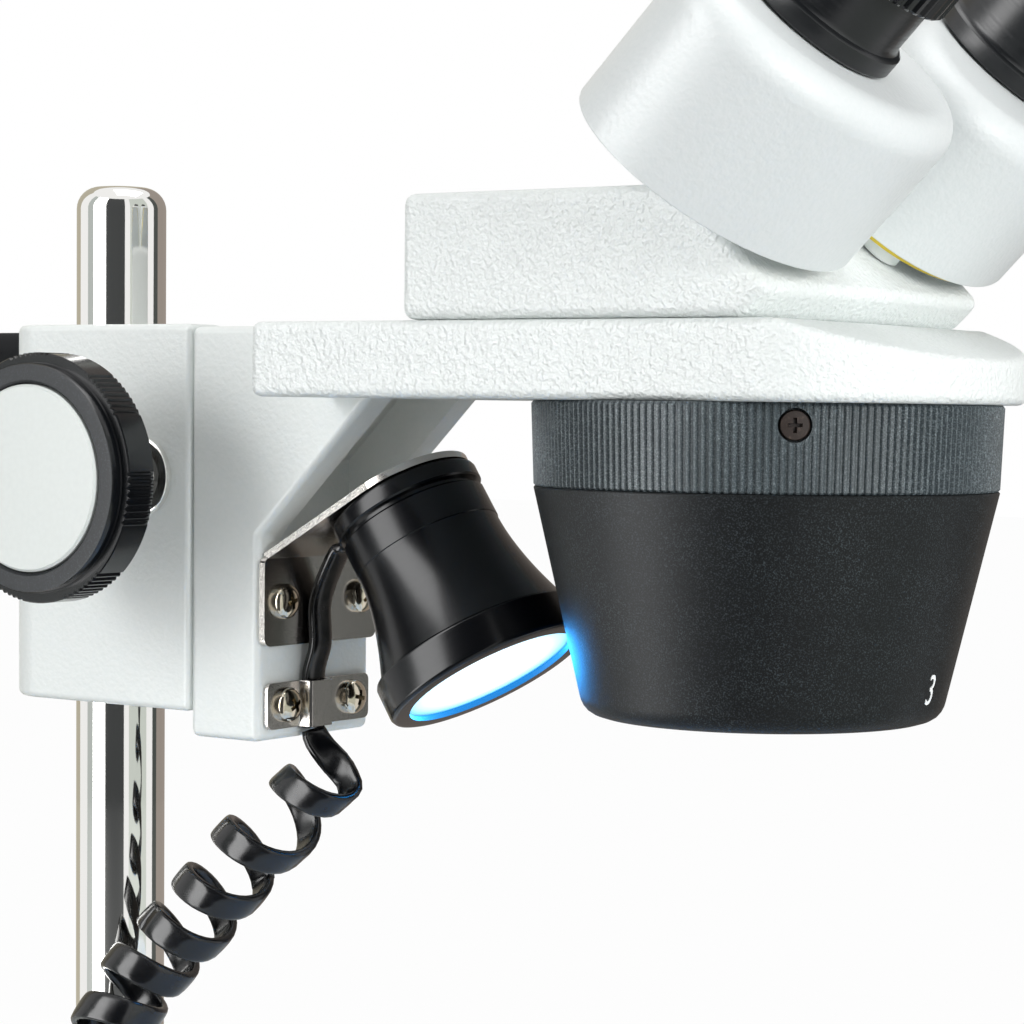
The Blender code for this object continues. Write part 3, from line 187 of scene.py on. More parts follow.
def sweep(name, points, ways):
    """The lead along points in mm; ways holds the direction of its width at each of them."""
    section = flat_section()
    spots, faces = [], []
    for i, point in enumerate(points):
        along = direction(points, i)
        wide = (ways[i] - along * ways[i].dot(along)).normalized()
        thin = along.cross(wide)
        spots += [at(*(point + wide * a + thin * b)) for a, b in section]
    count = len(section)
    for i in range(len(points) - 1):
        for k in range(count):
            n = (k + 1) % count
            faces.append((i * count + k, i * count + n, (i + 1) * count + n, (i + 1) * count + k))
    faces.append(tuple(reversed(range(count))))
    faces.append(tuple(range(len(spots) - count, len(spots))))
    mesh = bpy.data.meshes.new(name)
    mesh.from_pydata(spots, [], faces)
    mesh.shade_smooth()
    piece = bpy.data.objects.new(name, mesh)
    bpy.context.collection.objects.link(piece)
    bpy.ops.object.select_all(action="DESELECT")
    piece.select_set(True)
    bpy.context.view_layer.objects.active = piece
    bpy.ops.object.mode_set(mode="EDIT")
    bpy.ops.mesh.select_all(action="SELECT")
    bpy.ops.mesh.normals_make_consistent(inside=False)
    bpy.ops.object.mode_set(mode="OBJECT")
    return piece


print("flat lead %.1f x %.1f mm" % (CORD_WIDTH, CORD_THICKNESS))

# %% [markdown]
# The upper part of the lead doesn't hang free: it leaves the lamp's back cap, lies against the bracket and
# the leg, and passes under the saddle clip.

# %% Lead on the leg
TILT = math.radians(32.3)
rear = Vector((-math.cos(TILT), 0, -math.sin(TILT)))
lead_start = Vector((53.71, CORD_Y, -25.42))
lead_route = [lead_start, lead_start + rear * 2.06, Vector((48.14, CORD_Y, -34.67)),
              Vector((48.14, CORD_Y, -42.17)), Vector((46.64, CORD_Y, -47.87)), Vector((46.64, CORD_Y, -56.77))]
lead_points = smooth_path(lead_route, 48)
lead_points.insert(0, lead_start - rear * 1.2)
lamp_lead = sweep("lead_on_leg", lead_points, [Vector((0, 1, 0))] * len(lead_points))
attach(lamp_lead, "carriage")
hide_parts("lamp_lead")
print("lead:", len(lead_points), "rings")

# %% [markdown]
# The curls run round an axis that drops from the clip to the gland beside the pillar. The solid has ten points
# to a curl. A smooth curve through them gives thirty, which keeps the highlights on the glossy skin unbroken.

# %% Curly cord
CURLS, CURL_POINTS, CURL_RADIUS, FINER, EASING = 6, 10, 6.6, 3, 10
cord_top = Vector((46.64, CORD_Y, -57.07))
cord_bottom = Vector((12.0, -22.0, -121.4))
SHARES = [(-0.18, 0.0, 0.1), (0.3, 0.15, 0.333), (0.625, 0.26, 0.533), (0.87, 0.48, 0.7), (1.0, 0.85, 0.89)]
axis = [Vector([t + (b - t) * s for t, b, s in zip(cord_top, cord_bottom, share)]) for share in SHARES]
steps = CURLS * CURL_POINTS
spine = smooth_path(axis, steps)
curls, ways = [], []
for k, middle in enumerate(spine):
    along = direction(spine, k)
    side = along.cross(Vector((0, 1, 0))).normalized()
    near = along.cross(side)
    swell = min(1.0, 0.4 + 0.3 * k, 0.4 + 0.3 * (steps - k))
    angle = 2 * math.pi * k / CURL_POINTS - math.radians(60)
    curls.append(middle + (side * math.cos(angle) + near * math.sin(angle)) * (CURL_RADIUS * swell))
    ways.append(along)
straight = Vector((0, 0, CORD_THICKNESS * 1.5))
flat, last = Vector((0, -1, 0)), -direction(curls, steps)
route = [cord_top, cord_top - straight] + curls + [cord_bottom + straight, cord_bottom]
route_ways = [flat, flat * 2 + ways[0]] + ways + [last, last]
cord_points = smooth_path(route, FINER * (len(route) - 1))
cord_ways = smooth_path(route_ways, FINER * (len(route) - 1))
for bend in (range(1, 27), range(len(cord_points) - 27, len(cord_points) - 1)):
    for _ in range(EASING):
        eased = {i: (cord_points[i - 1] + 2 * cord_points[i] + cord_points[i + 1]) / 4 for i in bend}
        for i, point in eased.items():
            cord_points[i] = point
lengths = [("cord_upper", "block", "carriage", 0, 66), ("cord_middle", "bush", "block", 66, 111),
           ("cord_lower", "stand", "bush", 111, len(cord_points) - 1)]
cord_pieces = []
total = 0.0
for name, below, above, begin, end in lengths:
    points, turned_ways = cord_points[begin:end + 1], cord_ways[begin:end + 1]
    piece = sweep(name, points, turned_ways)
    path = [at(*p) for p in points]
    long = sum((b - a).length for a, b in zip(path, path[1:]))
    foot, head = min(end // FINER - 2, steps), max(begin // FINER - 3, 0)
    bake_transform(piece)
    cord_pieces.append(piece)
    total += long
    print("%s: %.0f mm of lead" % (name, long / MM))
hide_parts("lamp_cord")
print("curly cord: %.0f mm of lead in %d curls" % (total / MM, CURLS))

# %% [markdown]
# The studio is plain: a white floor, a white surround and soft light from above left. Where the camera, a
# reflection or a piece of glass looks at the surround it is pure white, while it lights the object a little
# less, so that the paint keeps its shading. Cards stand round the pillar as a photographer puts them there for
# plated parts, each with a strip along the floor. Only reflections see them. They draw the upright stripes in the
# pillar, and the bright one is a softbox that puts the long highlight on the lamp.

# %% Studio
scene = bpy.context.scene
scene.view_settings.view_transform = "Standard"
world = bpy.data.worlds.new("white_surround")
scene.world = world
world.use_nodes = True
tree = world.node_tree


def seen_directly(tree):
    """One where the camera, a reflection or a piece of glass looks at the surface, and nought for its light."""
    path_of_light = add(tree, "ShaderNodeLightPath")
    seen = (path_of_light, "Is Camera Ray")
    for ray in ("Is Glossy Ray", "Is Transmission Ray"):
        either = add(tree, "ShaderNodeMath", {0: seen, 1: (path_of_light, ray)}, operation="MAXIMUM")
        seen = (either, "Value")
    return seen


AMBIENT, FLOOR_SHARE = 0.54, 0.975
level = add(tree, "ShaderNodeMapRange", {"Value": seen_directly(tree), "To Min": AMBIENT, "To Max": 1.0})
background = tree.nodes["Background"]
background.inputs["Color"].default_value = colour("#FFFFFF")
tree.links.new(level.outputs["Result"], background.inputs["Strength"])

floor_paper, tree, shader, _ = material("pale_paper", "#999B9B", 0.9)
glow = add(tree, "ShaderNodeEmission", {"Color": colour("#FFFFFF"), "Strength": 1.0})
share = add(tree, "ShaderNodeMath", {0: seen_directly(tree), 1: FLOOR_SHARE}, operation="MULTIPLY")
mixed = add(tree, "ShaderNodeMixShader", {0: (share, "Value"), 1: (shader, "BSDF"), 2: (glow, "Emission")})
tree.links.new(mixed.outputs[0], tree.nodes["Material Output"].inputs["Surface"])
bpy.ops.object.select_all(action="DESELECT")
bpy.ops.mesh.primitive_plane_add(size=8, location=(0, 0, -0.1 * MM))
floor = bpy.context.object
floor.name = "floor"
floor.data.materials.append(floor_paper)


def lamp(name, place, target, size, power, tint="#FFFFFF"):
    bpy.ops.object.light_add(type="AREA", location=place)
    light = bpy.context.object
    light.name = name
    light.rotation_mode = "QUATERNION"
    light.rotation_quaternion = (Vector(target) - Vector(place)).to_track_quat("-Z", "Y")
    light.data.shape = "RECTANGLE"
    light.data.size, light.data.size_y = size
    light.data.energy = power
    light.data.color = colour(tint)[:3]


lamp("key_softbox", (-0.5, -1.0, 0.55), (0, 0, 0.17), (0.5, 0.5), 4.4)
lamp("fill_softbox", (0.75, -0.17, 0.27), (0.04, 0, 0.18), (0.4, 0.3), 4.2)
lamp("top_softbox", (0.1, 0.1, 1.3), (0, 0, 0.17), (0.8, 0.8), 5.0)

CARDS = [(-123, -90, "#FFFFFF", 7.0), (-87, -39, "#3A3C3D", 1.0), (-26, 23, "#CDD3CC", 1.0), (43, 59, "#454A47", 1.0),
         (59, 124, "#9A9088", 1.0), (124, 183, "#BDB6A3", 0.95), (217, 236, "#BAC0BD", 1.0)]
NEAR_EDGE, FAR_EDGE, CARD_TOP = 0.12, 0.7, 0.9
for number, (start, end, tone, strength) in enumerate(CARDS):
    card, tree, shader, _ = material("card_paper_%d" % number, "#000000", 0.9, Emission_Strength=strength)
    shader.inputs["Emission Color"].default_value = colour(tone)
    bpy.ops.mesh.primitive_grid_add(x_subdivisions=24, y_subdivisions=2, size=2)
    panel = bpy.context.object
    panel.name = "card_%d" % number
    for vertex in panel.data.vertices:
        angle = math.radians(start + (end - start) * (vertex.co.x + 1) / 2)
        reach = NEAR_EDGE if vertex.co.y < -0.5 else FAR_EDGE
        height = CARD_TOP if vertex.co.y > 0.5 else MM
        vertex.co = (PILLAR_X + reach * math.cos(angle), reach * math.sin(angle), height)
    panel.data.materials.append(card)
    panel.visible_camera = panel.visible_diffuse = panel.visible_shadow = panel.visible_transmission = False
print("studio: 3 softboxes and", len(CARDS), "cards")

# %% [markdown]
# The other pieces are modelled as by hand: a circle or a box is added and then shaped with Blender's own
# operators. A few short helpers keep the cells readable. Sizes are in millimetres from the pillar's axis and
# the plate's underside. Each finished piece gets its place in its mesh, so that its object stays at the origin.

# %% Modelling helpers
HOME = Matrix.Translation(at(0, 0, 0))


def spot(x, y, z, degrees=0.0, about="Y"):
    """A place in mm, turned about one axis."""
    return Matrix.Translation(at(x, y, z)) @ Matrix.Rotation(math.radians(degrees), 4, about)


def clear():
    if bpy.context.object and bpy.context.object.mode != "OBJECT":
        bpy.ops.object.mode_set(mode="OBJECT")
    bpy.ops.object.select_all(action="DESELECT")


def only(piece):
    clear()
    piece.select_set(True)
    bpy.context.view_layer.objects.active = piece


def pick(piece, kind, test):
    """Edit a piece with those vertices, edges or polygons selected whose middle, in mm, passes a test."""
    only(piece)
    bpy.ops.object.mode_set(mode="EDIT")
    bpy.ops.mesh.select_mode(type={"vertices": "VERT", "edges": "EDGE", "polygons": "FACE"}[kind])
    bpy.ops.mesh.select_all(action="DESELECT")
    bpy.ops.object.mode_set(mode="OBJECT")
    spots = [vertex.co / MM for vertex in piece.data.vertices]
    for item in getattr(piece.data, kind):
        corners = [spots[item.index]] if kind == "vertices" else [spots[i] for i in item.vertices]
        item.select = bool(test(sum(corners, Vector()) / len(corners)))
    bpy.ops.object.mode_set(mode="EDIT")


def change(piece, kind, **settings):
    """Add a modifier and apply it."""
    only(piece)
    modifier = piece.modifiers.new(kind.title(), kind)
    for name, value in settings.items():
        setattr(modifier, name, value)
    bpy.ops.object.modifier_apply(modifier=modifier.name)


def carve(piece, tool, operation="DIFFERENCE"):
    change(piece, "BOOLEAN", object=tool, operation=operation, solver="EXACT")
    bpy.data.objects.remove(tool, do_unlink=True)


def soften(piece, width, segments=3, angle=40):
    change(piece, "BEVEL", width=width * MM, segments=segments, limit_method="ANGLE",
           angle_limit=math.radians(angle))


def slab(name, low, high):
    """A box between two corners."""
    clear()
    middle = [(a + b) / 2 * MM for a, b in zip(low, high)]
    size = [(b - a) * MM for a, b in zip(low, high)]
    bpy.ops.mesh.primitive_cube_add(size=1, location=middle, scale=size)
    bpy.ops.object.transform_apply()
    bpy.context.object.name = bpy.context.object.data.name = name
    return bpy.context.object


def lathe(name, profile, steps=96, hollow=False):
    """A round piece about Z: a circle is extruded and resized from one (radius, height) to the next."""
    clear()
    radius, height = profile[0]
    bpy.ops.mesh.primitive_circle_add(vertices=steps, radius=radius * MM, fill_type="NOTHING" if hollow else "NGON")
    piece = bpy.context.object
    piece.name = piece.data.name = name
    bpy.ops.object.mode_set(mode="EDIT")
    bpy.ops.mesh.select_mode(type="VERT")
    bpy.ops.mesh.select_all(action="SELECT")
    bpy.ops.transform.translate(value=(0, 0, height * MM))
    for r, z in profile[1:] + (profile[:1] if hollow else []):
        bpy.ops.mesh.extrude_region_move(TRANSFORM_OT_translate={"value": (0, 0, (z - height) * MM)})
        bpy.ops.transform.resize(value=(r / radius, r / radius, 1), center_override=(0, 0, 0))
        radius, height = r, z
    bpy.ops.mesh.select_all(action="SELECT")
    bpy.ops.mesh.remove_doubles(threshold=1e-6)
    bpy.ops.mesh.normals_make_consistent(inside=False)
    bpy.ops.object.mode_set(mode="OBJECT")
    return piece


def another(piece, name):
    only(piece)
    bpy.ops.object.duplicate()
    bpy.context.object.name = bpy.context.object.data.name = name
    return bpy.context.object


def settle(piece, body, finish, slot, *replaced, place=HOME, angle=40):
    """Put a finished piece in its place, shade and coat it, and let it ride on its body."""
    only(piece)
    piece.matrix_world = place
    bpy.ops.object.transform_apply(location=True, rotation=True, scale=True)
    bpy.ops.object.shade_smooth_by_angle(angle=math.radians(angle))
    change(piece, "WEIGHTED_NORMAL", keep_sharp=True)
    piece.data.materials.clear()
    piece.data.materials.append(finish)
    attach(piece, body)
    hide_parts(*replaced)
    print("%s: %d faces" % (piece.name, len(piece.data.polygons)))
    return piece


def coat(piece, finish, test, place=HOME):
    """Give a second finish to the faces of a settled piece whose middle, in mm at its place, passes a test."""
    piece.data.materials.append(finish)
    unplaced = place.inverted()
    for face in piece.data.polygons:
        if test(unplaced @ face.center / MM):
            face.material_index = len(piece.data.materials) - 1


print("modelling helpers ready")

# %% [markdown]
# Crinkle enamel is a paint that shrinks as it bakes: its skin draws up into soft lumps, here a little over one
# millimetre apart. A noise gives their height, flattened at its top and bottom, and the valleys between lumps
# are painted slightly darker, as painted shade. The same recipe with a shallower grain gives the plainer paint
# of the leg and of the prism housings.

# %% White paints


def enamel(name, base, valley_shade, grain, depth, roughness):
    """Baked enamel whose lumps are about grain mm apart and depth mm high; their valleys get painted shade."""
    made, tree, shader, coords = material(name, base, roughness)
    noise = add(tree, "ShaderNodeTexNoise", {"Vector": coords, "Scale": 2 / (grain * MM), "Detail": 1.0})
    height = add(tree, "ShaderNodeMapRange", {"Value": (noise, 0), "From Min": 0.2, "From Max": 0.8},
                 interpolation_type="SMOOTHSTEP")
    bump = add(tree, "ShaderNodeBump", {"Height": (height, 0), "Strength": 1.0, "Distance": depth * MM})
    # Where the lumps are low the darker colour is mixed in: painted shade in the valleys.
    tint = add(tree, "ShaderNodeMix", {0: (height, 0), 6: colour(valley_shade), 7: colour(base)}, data_type="RGBA")
    tree.links.new(tint.outputs[2], shader.inputs["Base Color"])
    tree.links.new(bump.outputs[0], shader.inputs["Normal"])
    return made


# Crinkle coat: broken, soft highlights; fine coat: an even satin; pod lacquer: nearly smooth and a little greyer
# In each enamel the second colour is the painted shade of the valleys between the lumps.
crinkle_enamel = enamel("crinkle_enamel", "#E9EDEC", "#E4E9E7", 1.5, 0.17, 0.45)
fine_enamel = enamel("fine_enamel", "#EDF1EF", "#EAEFED", 1.6, 0.03, 0.40)
pod_lacquer = enamel("pod_lacquer", "#DCE0E0", "#D9DEDE", 1.6, 0.035, 0.40)
print("paints:", crinkle_enamel.name, fine_enamel.name, pod_lacquer.name)

# %% [markdown]
# Black parts come in four finishes. The turret has a gritty powder coat: tiny flat grains catch the light one by
# one. Knobs are moulded plastic with a fine spark texture. The lamp and the eye tubes are anodised aluminium, and
# the tool leaves fine rings round them. Feet and eyecups are rubber. Real grit of 0.1 mm would vanish between two
# pixels, so the flecks are drawn at about a quarter of a millimetre.

# %% Black finishes


def gritty(name, base, fleck, grit, share, depth, roughness, specular=0.2):
    """A coat with grains of grit mm; share of them are as pale as the fleck colour."""
    made, tree, shader, coords = material(name, base, roughness, Specular_IOR_Level=specular)
    noise = add(tree, "ShaderNodeTexNoise", {"Vector": coords, "Scale": 1 / (grit * MM), "Detail": 1.0})
    clouds = add(tree, "ShaderNodeTexNoise", {"Vector": coords, "Scale": 1 / (9 * MM), "Detail": 2.0})
    cover = add(tree, "ShaderNodeMapRange", {"Value": (noise, 0), "From Min": 0.72 - 0.3 * share, "From Max": 0.82})
    patchy = add(tree, "ShaderNodeMapRange", {"Value": (clouds, 0), "From Min": 0.3, "From Max": 0.7, "To Min": 0.4})
    dots = add(tree, "ShaderNodeMath", {0: (cover, 0), 1: (patchy, 0)}, operation="MULTIPLY")
    tint = add(tree, "ShaderNodeMix", {0: (dots, 0), 6: colour(base), 7: colour(fleck)}, data_type="RGBA")
    bump = add(tree, "ShaderNodeBump", {"Height": (noise, 0), "Strength": 1.0, "Distance": depth * MM})
    tree.links.new(tint.outputs[2], shader.inputs["Base Color"])
    tree.links.new(bump.outputs[0], shader.inputs["Normal"])
    return made


def turned_finish(name, base, roughness, metallic, pitch, place, **more):
    """A turned metal: fine rings of pitch mm about the Z axis of a place vary its gloss."""
    made, tree, shader, coords = material(name, base, roughness, metallic, **more)
    turned = place.inverted()
    mapped = add(tree, "ShaderNodeMapping", {"Vector": coords, "Location": turned.to_translation(),
                                             "Rotation": turned.to_euler()})
    split = add(tree, "ShaderNodeSeparateXYZ", {"Vector": (mapped, 0)})
    rings = add(tree, "ShaderNodeTexNoise", {"W": (split, "Z"), "Scale": 1 / (pitch * MM), "Detail": 3.0},
                noise_dimensions="1D")
    gloss = add(tree, "ShaderNodeMapRange", {"Value": (rings, 0), "From Min": 0.25, "From Max": 0.75,
                                             "To Min": roughness * 0.85, "To Max": roughness * 1.2})
    bump = add(tree, "ShaderNodeBump", {"Height": (rings, 0), "Strength": 0.5, "Distance": 0.0012 * MM})
    tree.links.new(gloss.outputs[0], shader.inputs["Roughness"])
    tree.links.new(bump.outputs[0], shader.inputs["Normal"])
    return made


LAMP = spot(82.76, 0, -46.1, -32.3)
turret_coat = gritty("powder_coat_black", "#0A0D0F", "#3F474B", 0.24, 0.75, 0.03, 0.45, 0.22)
ring_coat = gritty("powder_coat_knurl", "#384145", "#869297", 0.26, 0.9, 0.02, 0.48, 0.5)
knob_face = gritty("spark_textured_plastic", "#121518", "#343A40", 0.22, 0.6, 0.012, 0.5, 0.3)
knob_gloss = gritty("moulded_gloss_plastic", "#0B0D10", "#111417", 0.8, 0.3, 0.002, 0.20, 0.5)
rubber = gritty("moulded_rubber", "#131415", "#202122", 0.4, 0.5, 0.01, 0.75)
lamp_black = turned_finish("black_anodised_lamp", "#03050A", 0.22, 0.0, 0.3, LAMP, Specular_IOR_Level=0.34)
tube_black = turned_finish("black_anodised_tube", "#101215", 0.32, 0.0, 0.5, spot(146.5, 0, 23.8, 45))
print("black finishes:", turret_coat.name, ring_coat.name, knob_face.name, lamp_black.name)

# %% [markdown]
# Plated steel shows its surroundings more than itself. The pillar is polished along its length before it is
# chromed. Bracket and clip are stamped from sheet and nickel plated, a little warmer and duller, and the screws
# are the same. Brass shows only as a thin yellow line under the prism housings.

# %% Metals


def plated(name, base, roughness, streak, stretch, depth=0.003):
    """A plated metal whose polish is uneven over streak mm and depth mm deep, drawn out along one axis."""
    made, tree, shader, coords = material(name, base, roughness, 1.0)
    mapped = add(tree, "ShaderNodeMapping", {"Vector": coords, "Scale": stretch})
    noise = add(tree, "ShaderNodeTexNoise", {"Vector": (mapped, 0), "Scale": 1 / (streak * MM), "Detail": 3.0})
    gloss = add(tree, "ShaderNodeMapRange", {"Value": (noise, 0), "From Min": 0.25, "From Max": 0.75,
                                             "To Min": roughness * 0.9, "To Max": roughness * 1.15})
    bump = add(tree, "ShaderNodeBump", {"Height": (noise, 0), "Strength": 1.0, "Distance": depth * MM})
    tree.links.new(gloss.outputs[0], shader.inputs["Roughness"])
    tree.links.new(bump.outputs[0], shader.inputs["Normal"])
    return made


chrome = plated("chromed_steel", "#EEEDEA", 0.05, 1.2, (1, 1, 0.04))
nickel = plated("nickel_plated_sheet", "#D2CDC8", 0.20, 0.5, (1, 1, 1), 0.002)
sheared = plated("sheared_edge", "#C4C1BC", 0.20, 0.35, (1, 0.05, 1), 0.5)
screw_metal = plated("nickel_plated_screw", "#CFC6B4", 0.12, 0.8, (1, 1, 1))
steel = plated("zinc_plated_steel", "#B8BABC", 0.28, 0.8, (1, 1, 0.3))
brass = plated("machined_brass", "#D8C04A", 0.34, 0.5, (1, 1, 1))
print("metals:", chrome.name, nickel.name, steel.name, brass.name)

# %% [markdown]
# The remaining finishes: the lamp's glass, clear optical glass, white moulded plastic for the stage disc and the
# knob caps, the green board in the lamp, and the glossy vinyl skin of the lead. The lamp is on: its glass is
# white in the middle and runs through cyan to blue at its rim. What it sheds on other pieces is stronger than
# what the eye sees in it, because the picture cuts off everything brighter than white.

# %% Glass, plastic and vinyl
lamp_glass, tree, shader, coords = material("frosted_lamp_glass", "#DDF3FF", 0.25)
unplaced = LAMP.inverted()
mapped = add(tree, "ShaderNodeMapping", {"Vector": coords, "Location": unplaced.to_translation(),
                                         "Rotation": unplaced.to_euler()})
split = add(tree, "ShaderNodeSeparateXYZ", {"Vector": (mapped, 0)})
flat_place = add(tree, "ShaderNodeCombineXYZ", {"X": (split, "X"), "Y": (split, "Y")})
reach = add(tree, "ShaderNodeVectorMath", {0: (flat_place, 0)}, operation="LENGTH")
to_cyan = add(tree, "ShaderNodeMapRange", {"Value": (reach, 1), "From Min": 9.4 * MM, "From Max": 14.2 * MM})
to_blue = add(tree, "ShaderNodeMapRange", {"Value": (reach, 1), "From Min": 13.9 * MM, "From Max": 15.5 * MM})
inner = add(tree, "ShaderNodeMix", {0: (to_cyan, 0), 6: colour("#FFFFFF"), 7: colour("#86E4FF")}, data_type="RGBA")
outer = add(tree, "ShaderNodeMix", {0: (to_blue, 0), 6: (inner, 2), 7: colour("#0B70C4")}, data_type="RGBA")
path_of_light = add(tree, "ShaderNodeLightPath")
shed = add(tree, "ShaderNodeMapRange", {"Value": (path_of_light, "Is Camera Ray"), "To Min": 28.0, "To Max": 1.1})
cast = add(tree, "ShaderNodeMix", {0: (path_of_light, "Is Camera Ray"), 6: colour("#2AA0FF"), 7: (outer, 2)},
           data_type="RGBA")
tree.links.new(cast.outputs[2], shader.inputs["Emission Color"])
tree.links.new(shed.outputs[0], shader.inputs["Emission Strength"])

clear_glass, tree, shader, coords = material("coated_optical_glass", "#0B1A1C", 0.04, Coat_Weight=1.0)
bloom = add(tree, "ShaderNodeTexNoise", {"Vector": coords, "Scale": 1 / (14 * MM)})
tint = add(tree, "ShaderNodeMix", {0: (bloom, 0), 6: colour("#0A2326"), 7: colour("#1A1233")}, data_type="RGBA")
tree.links.new(tint.outputs[2], shader.inputs["Base Color"])
# The plastic's second colour is the painted shade between its lumps.
white_plastic = enamel("moulded_white_plastic", "#E1E6E3", "#DEE3E0", 2.0, 0.004, 0.38)
board_lacquer = gritty("lacquered_board", "#12401F", "#2C6B3C", 0.8, 0.5, 0.005, 0.4)

vinyl, tree, shader, coords = material("glossy_vinyl_lead", "#0B0C0F", 0.20)
waves = add(tree, "ShaderNodeTexNoise", {"Vector": coords, "Scale": 1 / (3.5 * MM), "Detail": 2.0})
bump = add(tree, "ShaderNodeBump", {"Height": (waves, 0), "Strength": 0.5, "Distance": 0.06 * MM})
gloss = add(tree, "ShaderNodeMapRange", {"Value": (waves, 0), "From Min": 0.3, "From Max": 0.7, "To Min": 0.14,
                                         "To Max": 0.30})
tree.links.new(bump.outputs[0], shader.inputs["Normal"])
tree.links.new(gloss.outputs[0], shader.inputs["Roughness"])
for piece in cord_pieces + [lamp_lead]:
    piece.data.materials.append(vinyl)
print("glass, plastic and vinyl ready")

# %% [markdown]
# Pillar: a plain round bar, so a circle is drawn up along it. Its top edge is turned to a 4 mm round, which
# takes eight more steps.

# %% Pillar
profile = [(5, -150.3), (5, -134.7), (7.6, -134.7), (8, -134.3), (8, 33.5)]
for k in range(1, 9):
    angle = math.pi / 2 * k / 8
    profile.append((8 - 4 * (1 - math.cos(angle)), 33.5 + 4 * math.sin(angle)))
settle(lathe("chromed_pillar", profile, 128), "stand", chrome, "chrome", "pillar")

# %% [markdown]
# Focus block: a die casting with two large round corners at the rear. A box gets these by bevelling its two rear
# upright edges, then all its other edges are broken a little. The pillar's bore, the dovetail way at the front and
# the slot for the pinion are cut out last, so that their edges stay crisp as on a machined face.

# %% Focus block
block = slab("cast_focus_block", (-15, -15.45, -54.26), (29.84, 15.45, 12.4))
pick(block, "edges", lambda m: m.x < -14 and abs(m.z + 20.93) < 1)
bpy.ops.mesh.bevel(offset=8 * MM, segments=10, affect="EDGES")
soften(block, 1.2)
carve(block, lathe("bore", [(9.8, -60), (9.8, 20)], 96))
way = slab("way", (25.14, -9.515, -60), (30.84, 9.515, 20))
pick(way, "polygons", lambda m: m.x > 30)
bpy.ops.transform.resize(value=(1, 6.277 / 9.515, 1), center_override=(0, 0, 0))
carve(block, way)
carve(block, slab("pinion_slot", (14.58, -4.1, -60), (25.44, 4.1, 20)))
settle(block, "block", fine_enamel, "white_paint", "focus_block")

# %% [markdown]
# Sleeve and knob share the shaft's axis. The sleeve is a plated tube with a round foot. The knob is moulded: seven groups of eight
# ribs on its rim, with smooth arcs between them, a raised ring on its face and a white cap let into it. The rim's
# circle has 448 points, and pressing in two of each four within a group makes the ribs.

# %% Sleeves, focus knobs and caps
RIM_POINTS, KNOB_TURN = 448, -21.5


def rim_place(m):
    """Number of the rim point at a place."""
    return round(math.atan2(m.y, m.x) / (2 * math.pi) * RIM_POINTS) % RIM_POINTS


sleeve = lathe("plated_sleeve", [(3.1, 15.75), (6.9, 15.75), (7.1, 15.95), (7.1, 16.85), (6.95, 17.15), (6.6, 17.35),
                                 (5.2, 17.35), (5.2, 32.7), (4.9, 33), (3.1, 33)], 96, True)
knob = lathe("knob", [(5.2, 33.3), (5.2, 35.1), (20.2, 35.1), (20.8, 35.7), (20.8, 41.3), (20.6, 41.5), (19.2, 41.5),
                      (19, 41.7), (19, 43.2), (18.85, 43.55), (18.5, 43.7), (16.2, 43.7), (15.8, 43.3), (15.8, 42.0)],
             RIM_POINTS)
pick(knob, "vertices", lambda m: math.hypot(m.x, m.y) > 20.5 and rim_place(m) % 64 < 32 and rim_place(m) % 4 > 1)
bpy.ops.transform.resize(value=(0.982, 0.982, 1), center_override=(0, 0, 0))
cap = lathe("cap", [(15.5, 42.3), (15.5, 43.6), (15.1, 44.0), (9, 44.05), (2, 44.08)], 96)
for side, degrees in (("near", 90), ("far", -90)):
    place = spot(19.1, 0, -13.9, degrees, "X") @ Matrix.Rotation(math.radians(KNOB_TURN), 4, "Z")
    settle(another(sleeve, "plated_sleeve_" + side), "block", chrome, "chrome", "shaft_sleeve_" + side, place=place)
    grip = settle(another(knob, "focus_grip_" + side), "drive", knob_gloss, "black_plastic", "focus_knob_" + side,
                  place=place, angle=25)
    coat(grip, knob_face, lambda m: abs(m.y) > 43.4)
    settle(another(cap, "white_cap_" + side), "drive", white_plastic, "white_plastic", "knob_cap_" + side, place=place)
for pattern in (sleeve, knob, cap):
    bpy.data.objects.remove(pattern, do_unlink=True)

# %% [markdown]
# Lock knob: turned metal with a diamond knurl, the pattern of two crossing sets of fine grooves. On a grid of points
# round the knob this is a chequer: every second point of each ring is pressed in, and the next ring is shifted by one.

# %% Lock knob
KNURLS, ROWS = 88, 26
profile = [(6.2, 2.6), (7.0, 3.2)] + [(7.2, 3.4 + 14.6 * k / ROWS) for k in range(ROWS + 1)] + [(6.9, 18.3), (6.2, 18.6)]
lock = lathe("lock_grip", profile, KNURLS)


def in_groove(m):
    column = round(math.atan2(m.y, m.x) / (2 * math.pi) * KNURLS)
    row = round((m.z - 3.4) / 14.6 * ROWS)
    return 3.9 < m.z < 17.5 and (column + row) % 2 == 0


pick(lock, "vertices", in_groove)
bpy.ops.transform.resize(value=(0.945, 0.945, 1), center_override=(0, 0, 0))
settle(lock, "lock", lamp_black, "black_plastic", "lock_knob", place=spot(-15, 0, 4.3, -90), angle=25)

# %% [markdown]
# Arm: one casting with an upright leg, a narrow neck, a wide nose plate and a gusset in the corner. Leg, neck and
# gusset have the same width, so they are one flat outline pushed sideways. The nose plate is half of an ellipse whose
# straight edge is drawn back to the neck. Its top falls away at the front, which one cut with a sloping plane gives.

# %% Arm casting


